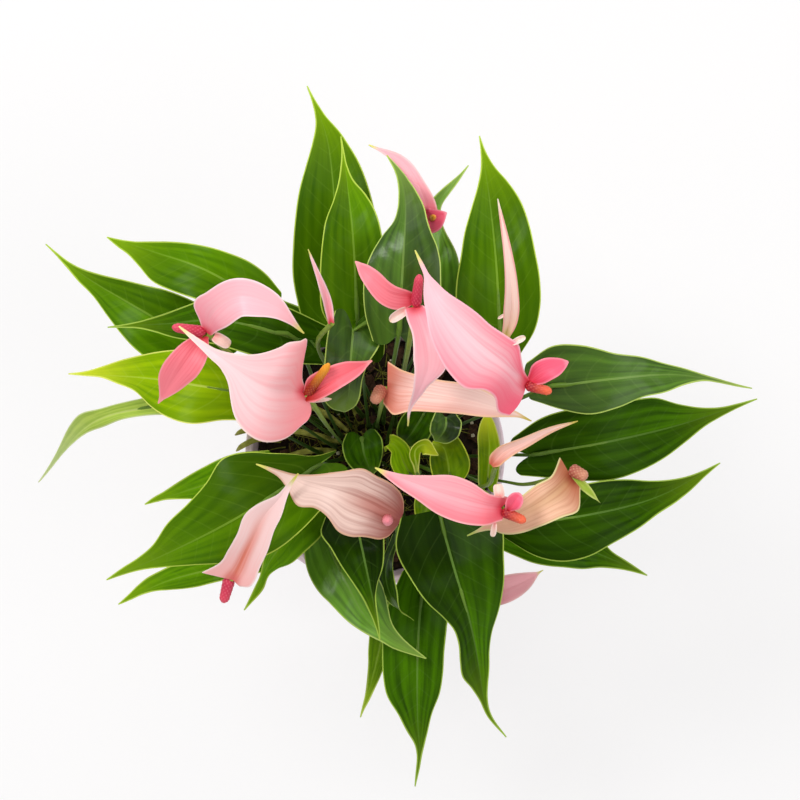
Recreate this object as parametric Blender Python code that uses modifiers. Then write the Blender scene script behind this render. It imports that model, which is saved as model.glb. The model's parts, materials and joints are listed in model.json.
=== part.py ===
"""Potted anthurium in flower: a round ceramic pot, its soil, 34 leaves and 15 flowers.

Frame: metres, +Z up, origin at the centre of the pot's flat foot. Every stem grows from the
soil, and every size and place below is in millimetres.
"""

import math
from dataclasses import dataclass

import bmesh
import bpy
from mathutils import Matrix, Vector

MM = 0.001

# Driving dimensions of the pot and soil.
POT_HEIGHT = 118.0
POT_RIM_RADIUS = 65.0
POT_FOOT_RADIUS = 45.0
POT_WALL = 4.0
POT_FLOOR = 6.0
RIM_ROUND = 2.0
FOOT_ROUND = 3.0
SOIL_TOP = 106.0
GAP = 0.3

# Thicknesses of the plant's own parts.
BLADE_THICKNESS = 0.8
SPATHE_THICKNESS = 0.8
PETIOLE_RADIUS = 1.1
YOUNG_PETIOLE_RADIUS = 0.8
YOUNG_HALF_WIDTH = 9.0
PEDUNCLE_RADIUS = 1.15
MIDRIB_REACH = 4.0
SPATHE_STANDOFF = 2.1
SPADIX_RADIUS = 3.0
SPADIX_INSET = 1.5
BRACT_DROP = 4.0
STALK_LIFT = 0.4

TURN_STEPS = 36
BLADE_ROWS = 6
BLADE_COLUMNS = 4
STALK_POINTS = 8


@dataclass
class Leaf:
    """A leaf: where its petiole leaves the soil, and its midrib from base to tip."""

    name: str
    root: tuple
    midrib: list
    half_width: float
    widest: float = 0.27
    taper: float = 2.0
    roll: float = 0.0
    fold: tuple = (10.0, 10.0)
    lobe: float = 0.07
    shoulder: float = 0.72
    via: tuple = ()
    colour: str = "green"


@dataclass
class Flower:
    """A flower: its stem's root and top, the big spathe, the spadix and the small bract."""

    name: str
    root: tuple
    top: tuple
    spathe: list
    half_width: float
    outline: str = "long"
    spadix: tuple = ()
    bract: tuple = ()
    bract_half_width: float = 7.0
    fold: tuple = (10.0, 10.0)
    lobe: float = 0.0
    left_share: float = 1.0
    via: tuple = ()
    colour: str = "pink"


LEAVES = [
    Leaf("leaf_north_tall", (2, 20), [(-18, 65, 198), (-18, 114, 206), (-22, 148, 196), (-31, 176, 176)],
         19.5, widest=0.35, taper=1.8, roll=4),
    Leaf("leaf_north_pale", (-3, 14), [(-7, 65, 228), (-9, 103, 240), (-12, 129, 230), (-15, 150, 214)],
         16.5, widest=0.33, taper=2.3, roll=-4, fold=(14, 14)),
    Leaf("leaf_north_dark", (4, 16), [(12, 58, 248), (14, 95, 258), (13, 118, 248), (7, 139, 230)],
         19.5, widest=0.28, taper=2.7, fold=(16, 12), colour="dark"),
    Leaf("leaf_north_edge", (10, 22), [(29, 64, 205), (31, 92, 212), (30, 118, 204), (45, 139, 186)],
         14, widest=0.3, taper=1.6, roll=-48, fold=(5, 5), colour="dark"),
    Leaf("leaf_northeast", (18, 16), [(59, 53, 216), (57, 87, 228), (54, 120, 220), (50, 152, 196)],
         19.8, widest=0.28, taper=1.75),
    Leaf("leaf_east_upper", (24, 8), [(79, 33, 234), (108, 37, 244), (141, 39, 232), (178, 33, 200)],
         17, widest=0.22, taper=3.4, roll=6, fold=(8, 8)),
    Leaf("leaf_east_middle", (32, -2), [(74, 2, 212), (108, 8, 218), (144, 16, 202), (184, 28, 172)],
         19.5, widest=0.42, taper=1.9, roll=6, fold=(10, -4), via=((58, 1, 168),), colour="dark"),
    Leaf("leaf_east_lower", (26, -6), [(66, -30, 208), (98, -26, 218), (132, -18, 208), (163, -4, 184)],
         20, taper=1.6, roll=8),
    Leaf("leaf_east_lowest", (24, -12), [(64, -36, 174), (89, -40, 178), (113, -46, 170), (133, -58, 152)],
         13.5, widest=0.35, taper=1.4, roll=4, colour="dark"),
    Leaf("leaf_south_large", (14, -14), [(29, -23, 216), (36, -58, 226), (47, -90, 204), (64, -135, 160)],
         25, widest=0.22, taper=3.0, roll=-4, lobe=0.03, shoulder=0.5, colour="dark"),
    Leaf("leaf_south_low", (12, -20), [(23, -62, 170), (21, -93, 172), (21, -125, 158), (20, -164, 126)],
         18, widest=0.25, taper=2.15),
    Leaf("leaf_south_behind", (6, -24), [(7, -69, 160), (3, -91, 160), (-2, -112, 150), (-7, -129, 136)],
         12, taper=1.6, roll=10, colour="light"),
    Leaf("leaf_southwest_glossy", (2, -22), [(-24, -34, 188), (-12, -60, 199), (0, -79, 193), (25, -96, 179)],
         17, taper=2.2, roll=6, colour="dark"),
    Leaf("leaf_south_dark", (6, -16), [(-8, -28, 216), (-4, -46, 222), (-1, -66, 212), (2, -85, 200)],
         13.5, widest=0.12, taper=2.8, colour="dark"),
    Leaf("leaf_south_narrow", (10, -18), [(11, -38, 202), (6, -53, 206), (10, -68, 200), (19, -77, 190)],
         8, widest=0.3, taper=1.6, roll=60, fold=(5, 5), colour="dark"),
    Leaf("leaf_west_large", (-13, -7), [(-24, -2, 226), (-58, -24, 238), (-90, -41, 222), (-127, -58, 186)],
         24.5, widest=0.25, taper=1.75, fold=(-5, -8)),
    Leaf("leaf_west_behind", (-16, -2), [(-52, -5, 184), (-71, -10, 188), (-90, -16, 178), (-111, -23, 162)],
         12, widest=0.25, taper=1.6),
    Leaf("leaf_west_under", (-22, -14),
         [(-56, -50, 164), (-78, -54, 168), (-102, -61, 158), (-126, -73, 140)],
         11, taper=1.8, colour="light"),
    Leaf("leaf_southwest_folded", (-4, -15),
         [(-27, -24, 206), (-39, -35, 208), (-51, -50, 198), (-62, -73, 178)],
         12.5, taper=1.8, roll=-26, fold=(26, 18)),
    Leaf("leaf_west_lime", (-20, 4), [(-52, 29, 206), (-80, 34, 216), (-109, 38, 204), (-146, 40, 178)],
         18.8, widest=0.3, taper=2.4, roll=4, colour="lime"),
    Leaf("leaf_far_west", (-26, 0), [(-72, 27, 164), (-108, 24, 166), (-140, 15, 144), (-170, -14, 104)],
         11, widest=0.35, taper=1.5, roll=50, fold=(6, 6), colour="light"),
    Leaf("leaf_northwest_low", (-25, 15),
         [(-77, 49, 168), (-107, 68, 178), (-133, 86, 168), (-161, 103, 142)],
         18.3, widest=0.25, taper=2.4, roll=-4),
    Leaf("leaf_northwest_high", (-17, 20),
         [(-52, 73, 204), (-78, 88, 212), (-103, 97, 202), (-127, 105, 184)],
         14.6, widest=0.35, taper=1.6, via=((-42, 43, 165),)),
    Leaf("leaf_west_upper", (-17, 9), [(-36, 56, 216), (-68, 64, 226), (-97, 63, 212), (-126, 62, 190)],
         14, widest=0.25, colour="dark"),
    Leaf("leaf_northwest_inner", (-12, 14), [(-28, 53, 164), (-37, 65, 168), (-44, 76, 166), (-55, 85, 158)],
         11, colour="dark"),
    Leaf("leaf_inner_glossy", (-4, 8), [(-9, 59, 240), (-10, 45, 244), (-11, 31, 234), (-13, 22, 224)],
         16, roll=-8, fold=(-4, 18), lobe=0.14, colour="dark"),
    Leaf("leaf_inner_heart", (-6, 0), [(-6, 9, 160), (-5, 2, 162), (-3, -4, 158), (-1, -10, 150)],
         10, widest=0.2, taper=1.2, fold=(6, 6), lobe=0.15, colour="dark"),
    Leaf("leaf_inner_small", (10, 3), [(24, 21, 174), (21, 16, 176), (17, 10, 172), (12, 5, 164)],
         8.5, widest=0.3, taper=1.2, lobe=0.15, colour="dark"),
    Leaf("leaf_inner_round", (16, 5), [(34, 19, 199), (34, 15, 201), (32, 11, 198), (29, 8, 193)],
         7.5, widest=0.3, taper=1.0, lobe=0.15, via=((30, 11, 165),), colour="dark"),
    Leaf("leaf_young_curled", (4, -4), [(13, -9, 158), (12, -2, 163), (12, 4, 163), (14, 11, 156)],
         7.5, widest=0.4, taper=1.0, fold=(25, 5), colour="young"),
    Leaf("leaf_young_folded", (18, -12), [(25, -8, 194), (22, -3, 201), (23, 3, 201), (31, 6, 196)],
         6.5, widest=0.4, taper=1.2, roll=10, fold=(30, 20), via=((20, -9, 170),), colour="young"),
    Leaf("leaf_young_broad", (14, -2), [(36, -8, 184), (35, -1, 190), (34, 5, 188), (36, 10, 180)],
         12, widest=0.35, taper=1.0, fold=(14, 12), colour="young"),
    Leaf("leaf_inner_lime", (20, 2), [(55, -6, 185), (54, 4, 198), (54, 13, 208), (53, 22, 214)],
         6.5, widest=0.4, taper=1.0, fold=(12, 12), colour="lime"),
    Leaf("leaf_young_under", (8, -10), [(28, -14, 162), (26, -21, 166), (25, -27, 160), (22, -36, 148)],
         6.5, widest=0.35, taper=1.8, colour="young"),
]

FLOWERS = [
    Flower("flower_west", (-22, 10), (-74, 57, 264), [(-67, 69, 284), (-50, 72, 292), (-30, 57, 276)], 9,
           spadix=(-89, 60, 270), bract=((-83, 44, 264), (-97, 26, 248)),
           bract_half_width=8.5),
    Flower("flower_big_west", (-15, 5), (-29, 30, 270), [(-45, 31, 286), (-61, 44, 290), (-85, 60, 281)],
           24.5, outline="broad", spadix=(-15, 39, 283),
           bract=((-16, 37, 282), (0, 45, 274)), bract_half_width=7, colour="pale"),
    Flower("flower_north", (6, 6), (19, 69, 290), [(24, 54, 300), (25, 37, 292), (16, 20, 274)], 10.5,
           spadix=(21, 82, 300), bract=((6, 74, 300), (-6, 88, 294)),
           bract_half_width=6.5, via=((15, 44, 250),)),
    Flower("flower_big_east", (26, 6), (67, 35, 304), [(52, 49, 322), (36, 67, 326), (19, 93, 308)], 14.5,
           spadix=(78, 31, 308), bract=((76, 41, 310), (85, 46, 310)),
           bract_half_width=7.5, left_share=1.38, via=((46, 24, 200), (60, 36, 262))),
    Flower("flower_salmon", (1, 14), (5, 32, 252), [(26, 30, 264), (48, 26, 264), (72, 18, 250)], 13,
           outline="wedge", spadix=(-1, 27, 264), colour="salmon"),
    Flower("flower_east", (20, -8), (58, -21, 276), [(41, -16, 288), (23, -11, 288), (2, -3, 274)], 10.5,
           outline="slim", spadix=(67, -26, 282), bract=((63, -18, 280), (67, -16, 282)),
           bract_half_width=4, via=((42, -18, 195), (51, -17, 258))),
    Flower("flower_olive", (31, -8), (88, -4, 258), [(79, -16, 266), (66, -23, 262), (43, -34, 248)], 12,
           outline="slim", spadix=(98, -5, 265), bract=((96, -12, 257), (103, -19, 250)),
           bract_half_width=2, via=((55, -9, 185),), colour="olive"),
    Flower("flower_southwest", (-8, -10), (-65, -54, 230), [(-56, -38, 250), (-47, -23, 264), (-33, -5, 277)],
           8.3, outline="flared", spadix=(-68, -66, 226), fold=(22, 22),
           via=((-15, -16, 132), (-44, -40, 174), (-66, -57, 200))),
    Flower("flower_south", (2, -9), (7, -25, 264), [(-6, -19, 270), (-23, -12, 263), (-52, -1, 250)], 16.5,
           outline="short", spadix=(9, -28, 282), colour="pale"),
    Flower("flower_top", (10, 14), (27, 111, 226), [(21, 126, 232), (13, 138, 228), (-2, 146, 216)], 4.6,
           outline="slim", spadix=(29, 108, 238), bract=((29, 107, 230), (30, 104, 232)),
           bract_half_width=6, via=((11, 24, 152), (17, 60, 203))),
    Flower("flower_hidden", (19, -17), (46, -65, 176), [(60, -63, 186), (71, -59, 184), (81, -54, 176)], 7,
           outline="slim"),
    Flower("bud_east", (26, -10), (57, -3, 246), [(67, 4, 252), (80, 12, 258), (93, 18, 256)], 2.6,
           outline="slim", via=((51, -13, 205),), colour="salmon"),
    Flower("bud_north", (24, 16), (61, 57, 250), [(63, 72, 262), (59, 94, 276), (53, 116, 284)], 3.6,
           outline="slim", colour="pale"),
    Flower("bud_northwest", (-6, 19), (-18, 62, 262), [(-20, 72, 270), (-24, 83, 276), (-28, 94, 280)], 2.4,
           outline="slim", via=((-18, 32, 175), (-30, 53, 238))),
]

# Spathe outlines: (place along the midrib, share of the half width), base to tip.
OUTLINES = {
    "long": [(0, 0.70), (0.12, 0.98), (0.26, 1.0), (0.42, 0.90), (0.58, 0.68), (0.72, 0.42), (0.84, 0.18),
             (0.92, 0.06), (1, 0.02)],
    "broad": [(0, 0.60), (0.08, 0.93), (0.18, 1.0), (0.30, 0.86), (0.42, 0.55), (0.53, 0.26), (0.64, 0.11),
              (0.80, 0.05), (1, 0.02)],
    "bract": [(0, 0.30), (0.15, 0.75), (0.35, 1.0), (0.55, 0.85), (0.72, 0.55), (0.85, 0.25), (0.93, 0.08),
              (1, 0.02)],
    "wedge": [(0, 1.0), (0.08, 0.98), (0.25, 0.62), (0.50, 0.52), (0.70, 0.46), (0.82, 0.30), (0.92, 0.08),
              (1, 0.02)],
    "slim": [(0, 0.62), (0.15, 0.95), (0.35, 1.0), (0.55, 0.85), (0.72, 0.55), (0.85, 0.25), (0.93, 0.08),
             (1, 0.02)],
    "flared": [(0, 1.45), (0.08, 1.25), (0.18, 1.0), (0.35, 0.98), (0.55, 0.85), (0.72, 0.55), (0.85, 0.22),
               (0.93, 0.08), (1, 0.02)],
    "short": [(0, 0.80), (0.10, 0.98), (0.22, 1.0), (0.35, 0.74), (0.48, 0.47), (0.60, 0.32), (0.75, 0.18),
              (0.88, 0.07), (1, 0.02)],
}

# Colour (linear), metallic and roughness of each finish.
FINISHES = {
    "green": ((0.050, 0.140, 0.010), 0.0, 0.35),
    "dark": ((0.022, 0.075, 0.008), 0.0, 0.30),
    "light": ((0.090, 0.200, 0.020), 0.0, 0.40),
    "lime": ((0.200, 0.340, 0.015), 0.0, 0.40),
    "young": ((0.160, 0.320, 0.020), 0.0, 0.35),
    "pink": ((0.830, 0.330, 0.370), 0.0, 0.40),
    "pale": ((0.860, 0.520, 0.530), 0.0, 0.40),
    "salmon": ((0.830, 0.450, 0.330), 0.0, 0.40),
    "olive": ((0.540, 0.330, 0.190), 0.0, 0.45),
    "spadix": ((0.560, 0.045, 0.080), 0.0, 0.50),
    "soil": ((0.035, 0.020, 0.012), 0.0, 0.95),
    "pot": ((0.800, 0.580, 0.640), 0.0, 0.25),
}


def make_collection(name):
    """A new collection in the scene."""
    collection = bpy.data.collections.new(name)
    bpy.context.scene.collection.children.link(collection)
    return collection


def make_material(name):
    """A Principled material from the table of finishes."""
    colour, metallic, roughness = FINISHES[name]
    material = bpy.data.materials.new(name)
    material.use_nodes = True
    shader = material.node_tree.nodes["Principled BSDF"]
    shader.inputs["Base Color"].default_value = (*colour, 1.0)
    shader.inputs["Metallic"].default_value = metallic
    shader.inputs["Roughness"].default_value = roughness
    return material


def smooth_path(points, count):
    """Evenly spaced places along the smooth curve through the points, which are in millimetres."""
    knots = [Vector(point) for point in points]
    ends = [knots[0] * 2 - knots[1], *knots, knots[-1] * 2 - knots[-2]]
    dense = []
    steps = 24
    for index in range(1, len(ends) - 2):
        before, start, end, after = ends[index - 1:index + 3]
        for step in range(steps):
            u = step / steps
            dense.append(0.5 * (2 * start + (end - before) * u
                                + (2 * before - 5 * start + 4 * end - after) * u ** 2
                                + (3 * start - before - 3 * end + after) * u ** 3))
    dense.append(knots[-1])
    lengths = [0.0]
    for first, second in zip(dense, dense[1:]):
        lengths.append(lengths[-1] + (second - first).length)
    path = []
    segment = 0
    for index in range(count):
        wanted = lengths[-1] * index / (count - 1)
        while segment < len(dense) - 2 and lengths[segment + 1] < wanted:
            segment += 1
        share = (wanted - lengths[segment]) / (lengths[segment + 1] - lengths[segment])
        path.append(dense[segment].lerp(dense[segment + 1], share))
    return path


def leaf_outline(along, leaf):
    """Share of the half width: swells from the shoulder to the widest place, then to the drip tip."""
    if along < leaf.widest:
        return leaf.shoulder + (1 - leaf.shoulder) * math.sin(math.pi / 2 * along / leaf.widest)
    fall = math.cos(math.pi / 2 * (along - leaf.widest) / (1 - leaf.widest))
    return 0.02 + 0.98 * max(fall, 0.0) ** leaf.taper


def knotted_outline(along, knots):
    """Share of the half width read from a smooth curve through the outline's knots."""
    places = [knot[0] for knot in knots]
    shares = [knot[1] for knot in knots]
    last = len(knots) - 1
    index = 0
    while index < last - 1 and places[index + 1] <= along:
        index += 1
    slopes = []
    for end in (index, index + 1):
        low = max(end - 1, 0)
        high = min(end + 1, last)
        slopes.append((shares[high] - shares[low]) / (places[high] - places[low]))
    width = places[index + 1] - places[index]
    u = (along - places[index]) / width
    return ((2 * u ** 3 - 3 * u ** 2 + 1) * shares[index] + (u ** 3 - 2 * u ** 2 + u) * width * slopes[0]
            + (3 * u ** 2 - 2 * u ** 3) * shares[index + 1] + (u ** 3 - u ** 2) * width * slopes[1])


def blade_mesh(name, midrib, width_at, fold, roll=0.0, lobe=0.0, left_share=1.0, rows=BLADE_ROWS):
    """A grid bent into a blade: across it from edge to edge, and along the midrib from base to tip.

    width_at gives the half width in millimetres at a place along the midrib. Each side is turned
    up by its fold, the whole blade is rolled about its midrib, and the lobes reach back past the
    base on both sides of the stalk.
    """
    line = smooth_path(midrib, 4 * rows + 1)
    length = sum((b - a).length for a, b in zip(line, line[1:]))
    heading = line[-1] - line[0]
    level_left = Vector((-heading.y, heading.x, 0.0)).normalized()
    mesh = bpy.data.meshes.new(name)
    grid = bmesh.new()
    bmesh.ops.create_grid(grid, x_segments=BLADE_COLUMNS, y_segments=rows, size=1.0)
    for vertex in grid.verts:
        across = vertex.co.x
        along = (vertex.co.y + 1) / 2
        index = round(along * 4 * rows)
        tangent = (line[min(index + 1, 4 * rows)] - line[max(index - 1, 0)]).normalized()
        left = (level_left - tangent * level_left.dot(tangent)).normalized()
        up = tangent.cross(left)
        turn = math.radians(roll)
        side = left * math.cos(turn) + up * math.sin(turn)
        normal = tangent.cross(side)
        reach = abs(across)
        on_left = across > 0
        half = width_at(along) * (left_share if on_left else 2 - left_share)
        tilt = math.radians(fold[0] if on_left else fold[1])
        out = reach * half * math.cos(tilt) * (1 if on_left else -1)
        rise = reach * half * math.sin(tilt)
        back = lobe * length * (1 - along) ** 4 * math.sin(math.pi * 0.72 * reach ** 0.9)
        vertex.co = (line[index] + side * out + normal * rise - tangent * back) * MM
    bmesh.ops.reverse_faces(grid, faces=grid.faces)
    grid.to_mesh(mesh)
    grid.free()
    return mesh


def stalk_points(root, via, top):
    """Points of a stalk: steep out of the soil, then leaning over to its top."""
    start = Vector((root[0], root[1], SOIL_TOP + GAP + STALK_LIFT))
    end = Vector(top)
    if via:
        return [start, *[Vector(point) for point in via], end]
    climb = end - start
    low = start + Vector((climb.x * 0.12, climb.y * 0.12, climb.z * 0.38))
    high = start + Vector((climb.x * 0.48, climb.y * 0.48, climb.z * 0.78))
    return [start, low, high, end]


def tube_mesh(name, path, radius, thinning=0.0):
    """A round tube along the path as a closed mesh, from a curve with filled caps.

    Its radius falls by the thinning share toward the far end.
    """
    data = bpy.data.curves.new(name, "CURVE")
    data.dimensions = "3D"
    data.bevel_depth = radius * MM
    data.bevel_resolution = 1
    data.use_fill_caps = True
    spline = data.splines.new("POLY")
    spline.points.add(len(path) - 1)
    for index, (point, place) in enumerate(zip(spline.points, path)):
        point.co = (*(place * MM), 1.0)
        share = index / (len(path) - 1)
        point.radius = 1 - thinning * share ** 3
    curve = bpy.data.objects.new(name, data)
    bpy.context.scene.collection.objects.link(curve)
    depsgraph = bpy.context.evaluated_depsgraph_get()
    mesh = bpy.data.meshes.new_from_object(curve.evaluated_get(depsgraph))
    mesh.name = name
    bpy.data.objects.remove(curve)
    bpy.data.curves.remove(data)
    work = bmesh.new()
    work.from_mesh(mesh)
    bmesh.ops.remove_doubles(work, verts=work.verts, dist=0.00001)
    bmesh.ops.recalc_face_normals(work, faces=work.faces)
    work.to_mesh(mesh)
    work.free()
    return mesh


def spadix_mesh(name, top, tip):
    """The spike of tiny flowers: a sphere drawn out into a blunt finger that grows from the stem."""
    axis = Vector(tip) - Vector(top)
    foot = Vector(top) - axis.normalized() * SPADIX_INSET
    length = axis.length + SPADIX_INSET
    turn = Vector((0, 0, 1)).rotation_difference(axis)
    mesh = bpy.data.meshes.new(name)
    finger = bmesh.new()
    bmesh.ops.create_uvsphere(finger, u_segments=8, v_segments=6, radius=1.0)
    for vertex in finger.verts:
        height = (vertex.co.z + 1) / 2
        girth = SPADIX_RADIUS * (1.0 - 0.25 * height)
        local = Vector((vertex.co.x * girth, vertex.co.y * girth, length * height))
        vertex.co = (foot + turn @ local) * MM
    finger.to_mesh(mesh)
    finger.free()
    return mesh


def add_object(name, mesh, material, collection, plant, root=(0, 0)):
    """An object of the mesh with one material, held by the plant, with its origin at its root."""
    mesh.materials.clear()
    mesh.materials.append(material)
    part = bpy.data.objects.new(name, mesh)
    collection.objects.link(part)
    part.parent = plant
    if root != (0, 0):
        part.location = Vector((root[0], root[1], SOIL_TOP)) * MM
        mesh.transform(Matrix.Translation(-part.location))
    return part


def add_wall(part, thickness):
    """Give an open surface its thickness, half on each side."""
    wall = part.modifiers.new("Thickness", "SOLIDIFY")
    wall.thickness = thickness * MM
    wall.offset = 0.0


def join_solid(part, other):
    """Join another solid to the part, and show that solid only as a wire guide."""
    union = part.modifiers.new("Join " + other.name, "BOOLEAN")
    union.operation = "UNION"
    union.solver = "EXACT"
    union.object = other
    other.hide_render = True
    other.display_type = "WIRE"


def add_turned(name, profile, material, collection, plant):
    """A turned solid from a profile of (radius, height) that starts and ends on the axis."""
    mesh = bpy.data.meshes.new(name)
    points = [(radius * MM, 0.0, height * MM) for radius, height in profile]
    mesh.from_pydata(points, [(i, i + 1) for i in range(len(points) - 1)], [])
    part = add_object(name, mesh, material, collection, plant)
    screw = part.modifiers.new("Turn", "SCREW")
    screw.steps = TURN_STEPS
    screw.render_steps = TURN_STEPS
    screw.use_merge_vertices = True
    screw.merge_threshold = 0.00005
    screw.use_smooth_shade = True
    return part


def wall_radius(height):
    """Outer radius of the pot's tapered wall."""
    share = height / POT_HEIGHT
    return POT_FOOT_RADIUS + (POT_RIM_RADIUS - POT_FOOT_RADIUS) * share ** 0.8


def add_pot(material, collection, plant):
    """The pot: a tapered round wall with a soft rim, on a flat foot."""
    outside = [wall_radius(height) for height in (80.0, 40.0, 14.0)]
    profile = [
        (0.0, POT_FLOOR),
        (POT_FOOT_RADIUS - POT_WALL, POT_FLOOR),
        (wall_radius(40.0) - POT_WALL, 40.0),
        (wall_radius(80.0) - POT_WALL, 80.0),
        (POT_RIM_RADIUS - POT_WALL, POT_HEIGHT - RIM_ROUND),
        (POT_RIM_RADIUS - POT_WALL / 2, POT_HEIGHT),
        (POT_RIM_RADIUS, POT_HEIGHT - RIM_ROUND),
        (outside[0], 80.0),
        (outside[1], 40.0),
        (outside[2], 14.0),
        (POT_FOOT_RADIUS, FOOT_ROUND),
        (POT_FOOT_RADIUS - FOOT_ROUND, 0.0),
        (0.0, 0.0),
    ]
    return add_turned("pot", profile, material, collection, plant)


def add_soil(material, collection, plant):
    """The soil: fills the pot to just below its rim, clear of the wall by the gap."""
    inner = POT_WALL + 2 * GAP
    top_radius = POT_RIM_RADIUS - inner - 2.0
    profile = [
        (0.0, SOIL_TOP),
        (top_radius, SOIL_TOP),
        (wall_radius(80.0) - inner, 80.0),
        (wall_radius(40.0) - inner, 40.0),
        (POT_FOOT_RADIUS - inner, POT_FLOOR + GAP),
        (0.0, POT_FLOOR + GAP),
    ]
    return add_turned("soil", profile, material, collection, plant)


def add_leaf(leaf, materials, parts, guides, plant):
    """One leaf: its blade joined to the petiole that carries it from the soil."""
    mesh = blade_mesh(leaf.name, leaf.midrib, lambda along: leaf.half_width * leaf_outline(along, leaf),
                      leaf.fold, roll=leaf.roll, lobe=leaf.lobe)
    blade = add_object(leaf.name, mesh, materials[leaf.colour], parts, plant, leaf.root)
    add_wall(blade, BLADE_THICKNESS)
    young = leaf.half_width < YOUNG_HALF_WIDTH
    radius = YOUNG_PETIOLE_RADIUS if young else PETIOLE_RADIUS
    base = Vector(leaf.midrib[0])
    into = base + (Vector(leaf.midrib[1]) - base).normalized() * MIDRIB_REACH
    path = smooth_path([*stalk_points(leaf.root, leaf.via, base), into], STALK_POINTS)
    label = leaf.name + "_petiole"
    petiole = add_object(label, tube_mesh(label, path, radius, 0.3), materials[leaf.colour], guides, plant,
                         leaf.root)
    join_solid(blade, petiole)
    return blade


def add_spathe(flower, materials, parts, plant):
    """The big coloured spathe, which stands off its stem by a hair."""
    top = Vector(flower.top)
    toward = (Vector(flower.spathe[0]) - top).normalized()
    midrib = [top + toward * SPATHE_STANDOFF, *flower.spathe]
    knots = OUTLINES[flower.outline]
    name = flower.name + "_spathe"
    mesh = blade_mesh(name, midrib, lambda along: flower.half_width * knotted_outline(along, knots),
                      flower.fold, lobe=flower.lobe, left_share=flower.left_share)
    spathe = add_object(name, mesh, materials[flower.colour], parts, plant, flower.root)
    add_wall(spathe, SPATHE_THICKNESS)
    return spathe


def add_stem(flower, materials, parts, guides, plant):
    """The flower's stem, joined to the spadix and the small second bract that it carries."""
    path = smooth_path(stalk_points(flower.root, flower.via, flower.top), STALK_POINTS)
    name = flower.name + "_stem"
    stem = add_object(name, tube_mesh(name, path, PEDUNCLE_RADIUS), materials["green"], parts, plant,
                      flower.root)
    label = flower.name + "_spadix"
    spadix = add_object(label, spadix_mesh(label, flower.top, flower.spadix), materials["spadix"], guides,
                        plant, flower.root)
    join_solid(stem, spadix)
    if flower.bract:
        knots = OUTLINES["bract"]
        node = path[-1] + (path[-2] - path[-1]).normalized() * BRACT_DROP
        midrib = [node, *[(x, y, z - BRACT_DROP) for x, y, z in flower.bract]]
        label = flower.name + "_bract"
        mesh = blade_mesh(label, midrib,
                          lambda along: flower.bract_half_width * knotted_outline(along, knots),
                          (6.0, 6.0), rows=4)
        bract = add_object(label, mesh, materials["pink"], guides, plant, flower.root)
        add_wall(bract, SPATHE_THICKNESS)
        join_solid(stem, bract)
    return stem


def add_bud(flower, materials, parts, guides, plant):
    """A flower still rolled up, or young and closed: stem and spathe in one solid."""
    path = smooth_path([*stalk_points(flower.root, flower.via, flower.top), flower.spathe[0]], STALK_POINTS)
    knots = OUTLINES[flower.outline]
    mesh = blade_mesh(flower.name, [flower.top, *flower.spathe],
                      lambda along: flower.half_width * knotted_outline(along, knots), flower.fold)
    bud = add_object(flower.name, mesh, materials[flower.colour], parts, plant, flower.root)
    add_wall(bud, SPATHE_THICKNESS)
    label = flower.name + "_stalk"
    stalk = add_object(label, tube_mesh(label, path, PEDUNCLE_RADIUS, 0.5), materials["green"], guides, plant,
                       flower.root)
    join_solid(bud, stalk)
    return bud


def main():
    for item in list(bpy.data.objects):
        bpy.data.objects.remove(item)
    parts = make_collection("Potted anthurium")
    guides = make_collection("Guides")
    materials = {name: make_material(name) for name in FINISHES}
    plant = bpy.data.objects.new("anthurium", None)
    parts.objects.link(plant)
    add_pot(materials["pot"], parts, plant)
    add_soil(materials["soil"], parts, plant)
    for leaf in LEAVES:
        add_leaf(leaf, materials, parts, guides, plant)
    for flower in FLOWERS:
        if flower.spadix:
            add_stem(flower, materials, parts, guides, plant)
            add_spathe(flower, materials, parts, plant)
        else:
            add_bud(flower, materials, parts, guides, plant)


main()
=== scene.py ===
import json
import math
import random
from dataclasses import dataclass

import bmesh
import bpy
import numpy as np
from bpy.props import FloatProperty, FloatVectorProperty, IntProperty, PointerProperty
from mathutils import Matrix, Vector, noise


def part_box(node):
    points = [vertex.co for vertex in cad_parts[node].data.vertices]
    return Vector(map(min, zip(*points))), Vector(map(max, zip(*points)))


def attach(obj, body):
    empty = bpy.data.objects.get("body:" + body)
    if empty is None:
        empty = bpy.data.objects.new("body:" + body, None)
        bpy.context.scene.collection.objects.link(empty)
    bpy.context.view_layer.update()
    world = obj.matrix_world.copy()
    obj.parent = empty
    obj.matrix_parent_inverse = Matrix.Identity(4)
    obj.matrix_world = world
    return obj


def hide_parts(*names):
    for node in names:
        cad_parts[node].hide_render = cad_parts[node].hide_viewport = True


bl_info = {
    "name": "Potted anthurium",
    "version": (1, 0, 0),
    "blender": (4, 5, 0),
    "location": "3D View > Sidebar > Anthurium",
    "description": "Makes the leaves, flowers, soil and pot of a potted anthurium",
    "category": "Add Mesh",
}

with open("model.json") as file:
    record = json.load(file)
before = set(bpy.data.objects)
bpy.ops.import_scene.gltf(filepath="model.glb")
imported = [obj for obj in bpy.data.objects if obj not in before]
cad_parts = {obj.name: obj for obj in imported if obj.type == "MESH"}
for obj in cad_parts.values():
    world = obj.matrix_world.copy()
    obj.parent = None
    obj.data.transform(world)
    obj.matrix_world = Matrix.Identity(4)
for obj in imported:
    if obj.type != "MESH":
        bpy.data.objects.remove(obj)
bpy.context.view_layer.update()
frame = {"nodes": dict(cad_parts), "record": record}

MM = 0.001
# Nothing on the plant moves, so every piece rides on the one body.
BODY = "root"
# Height of the potting mix, in millimetres.
SOIL_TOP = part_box("soil")[1].z / MM


def to_linear(code):
    """Linear colour of an sRGB hex code such as #40700a."""
    channels = [int(code[place:place + 2], 16) / 255 for place in (1, 3, 5)]
    return [c / 12.92 if c <= 0.04045 else ((c + 0.055) / 1.055) ** 2.4 for c in channels]


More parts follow.
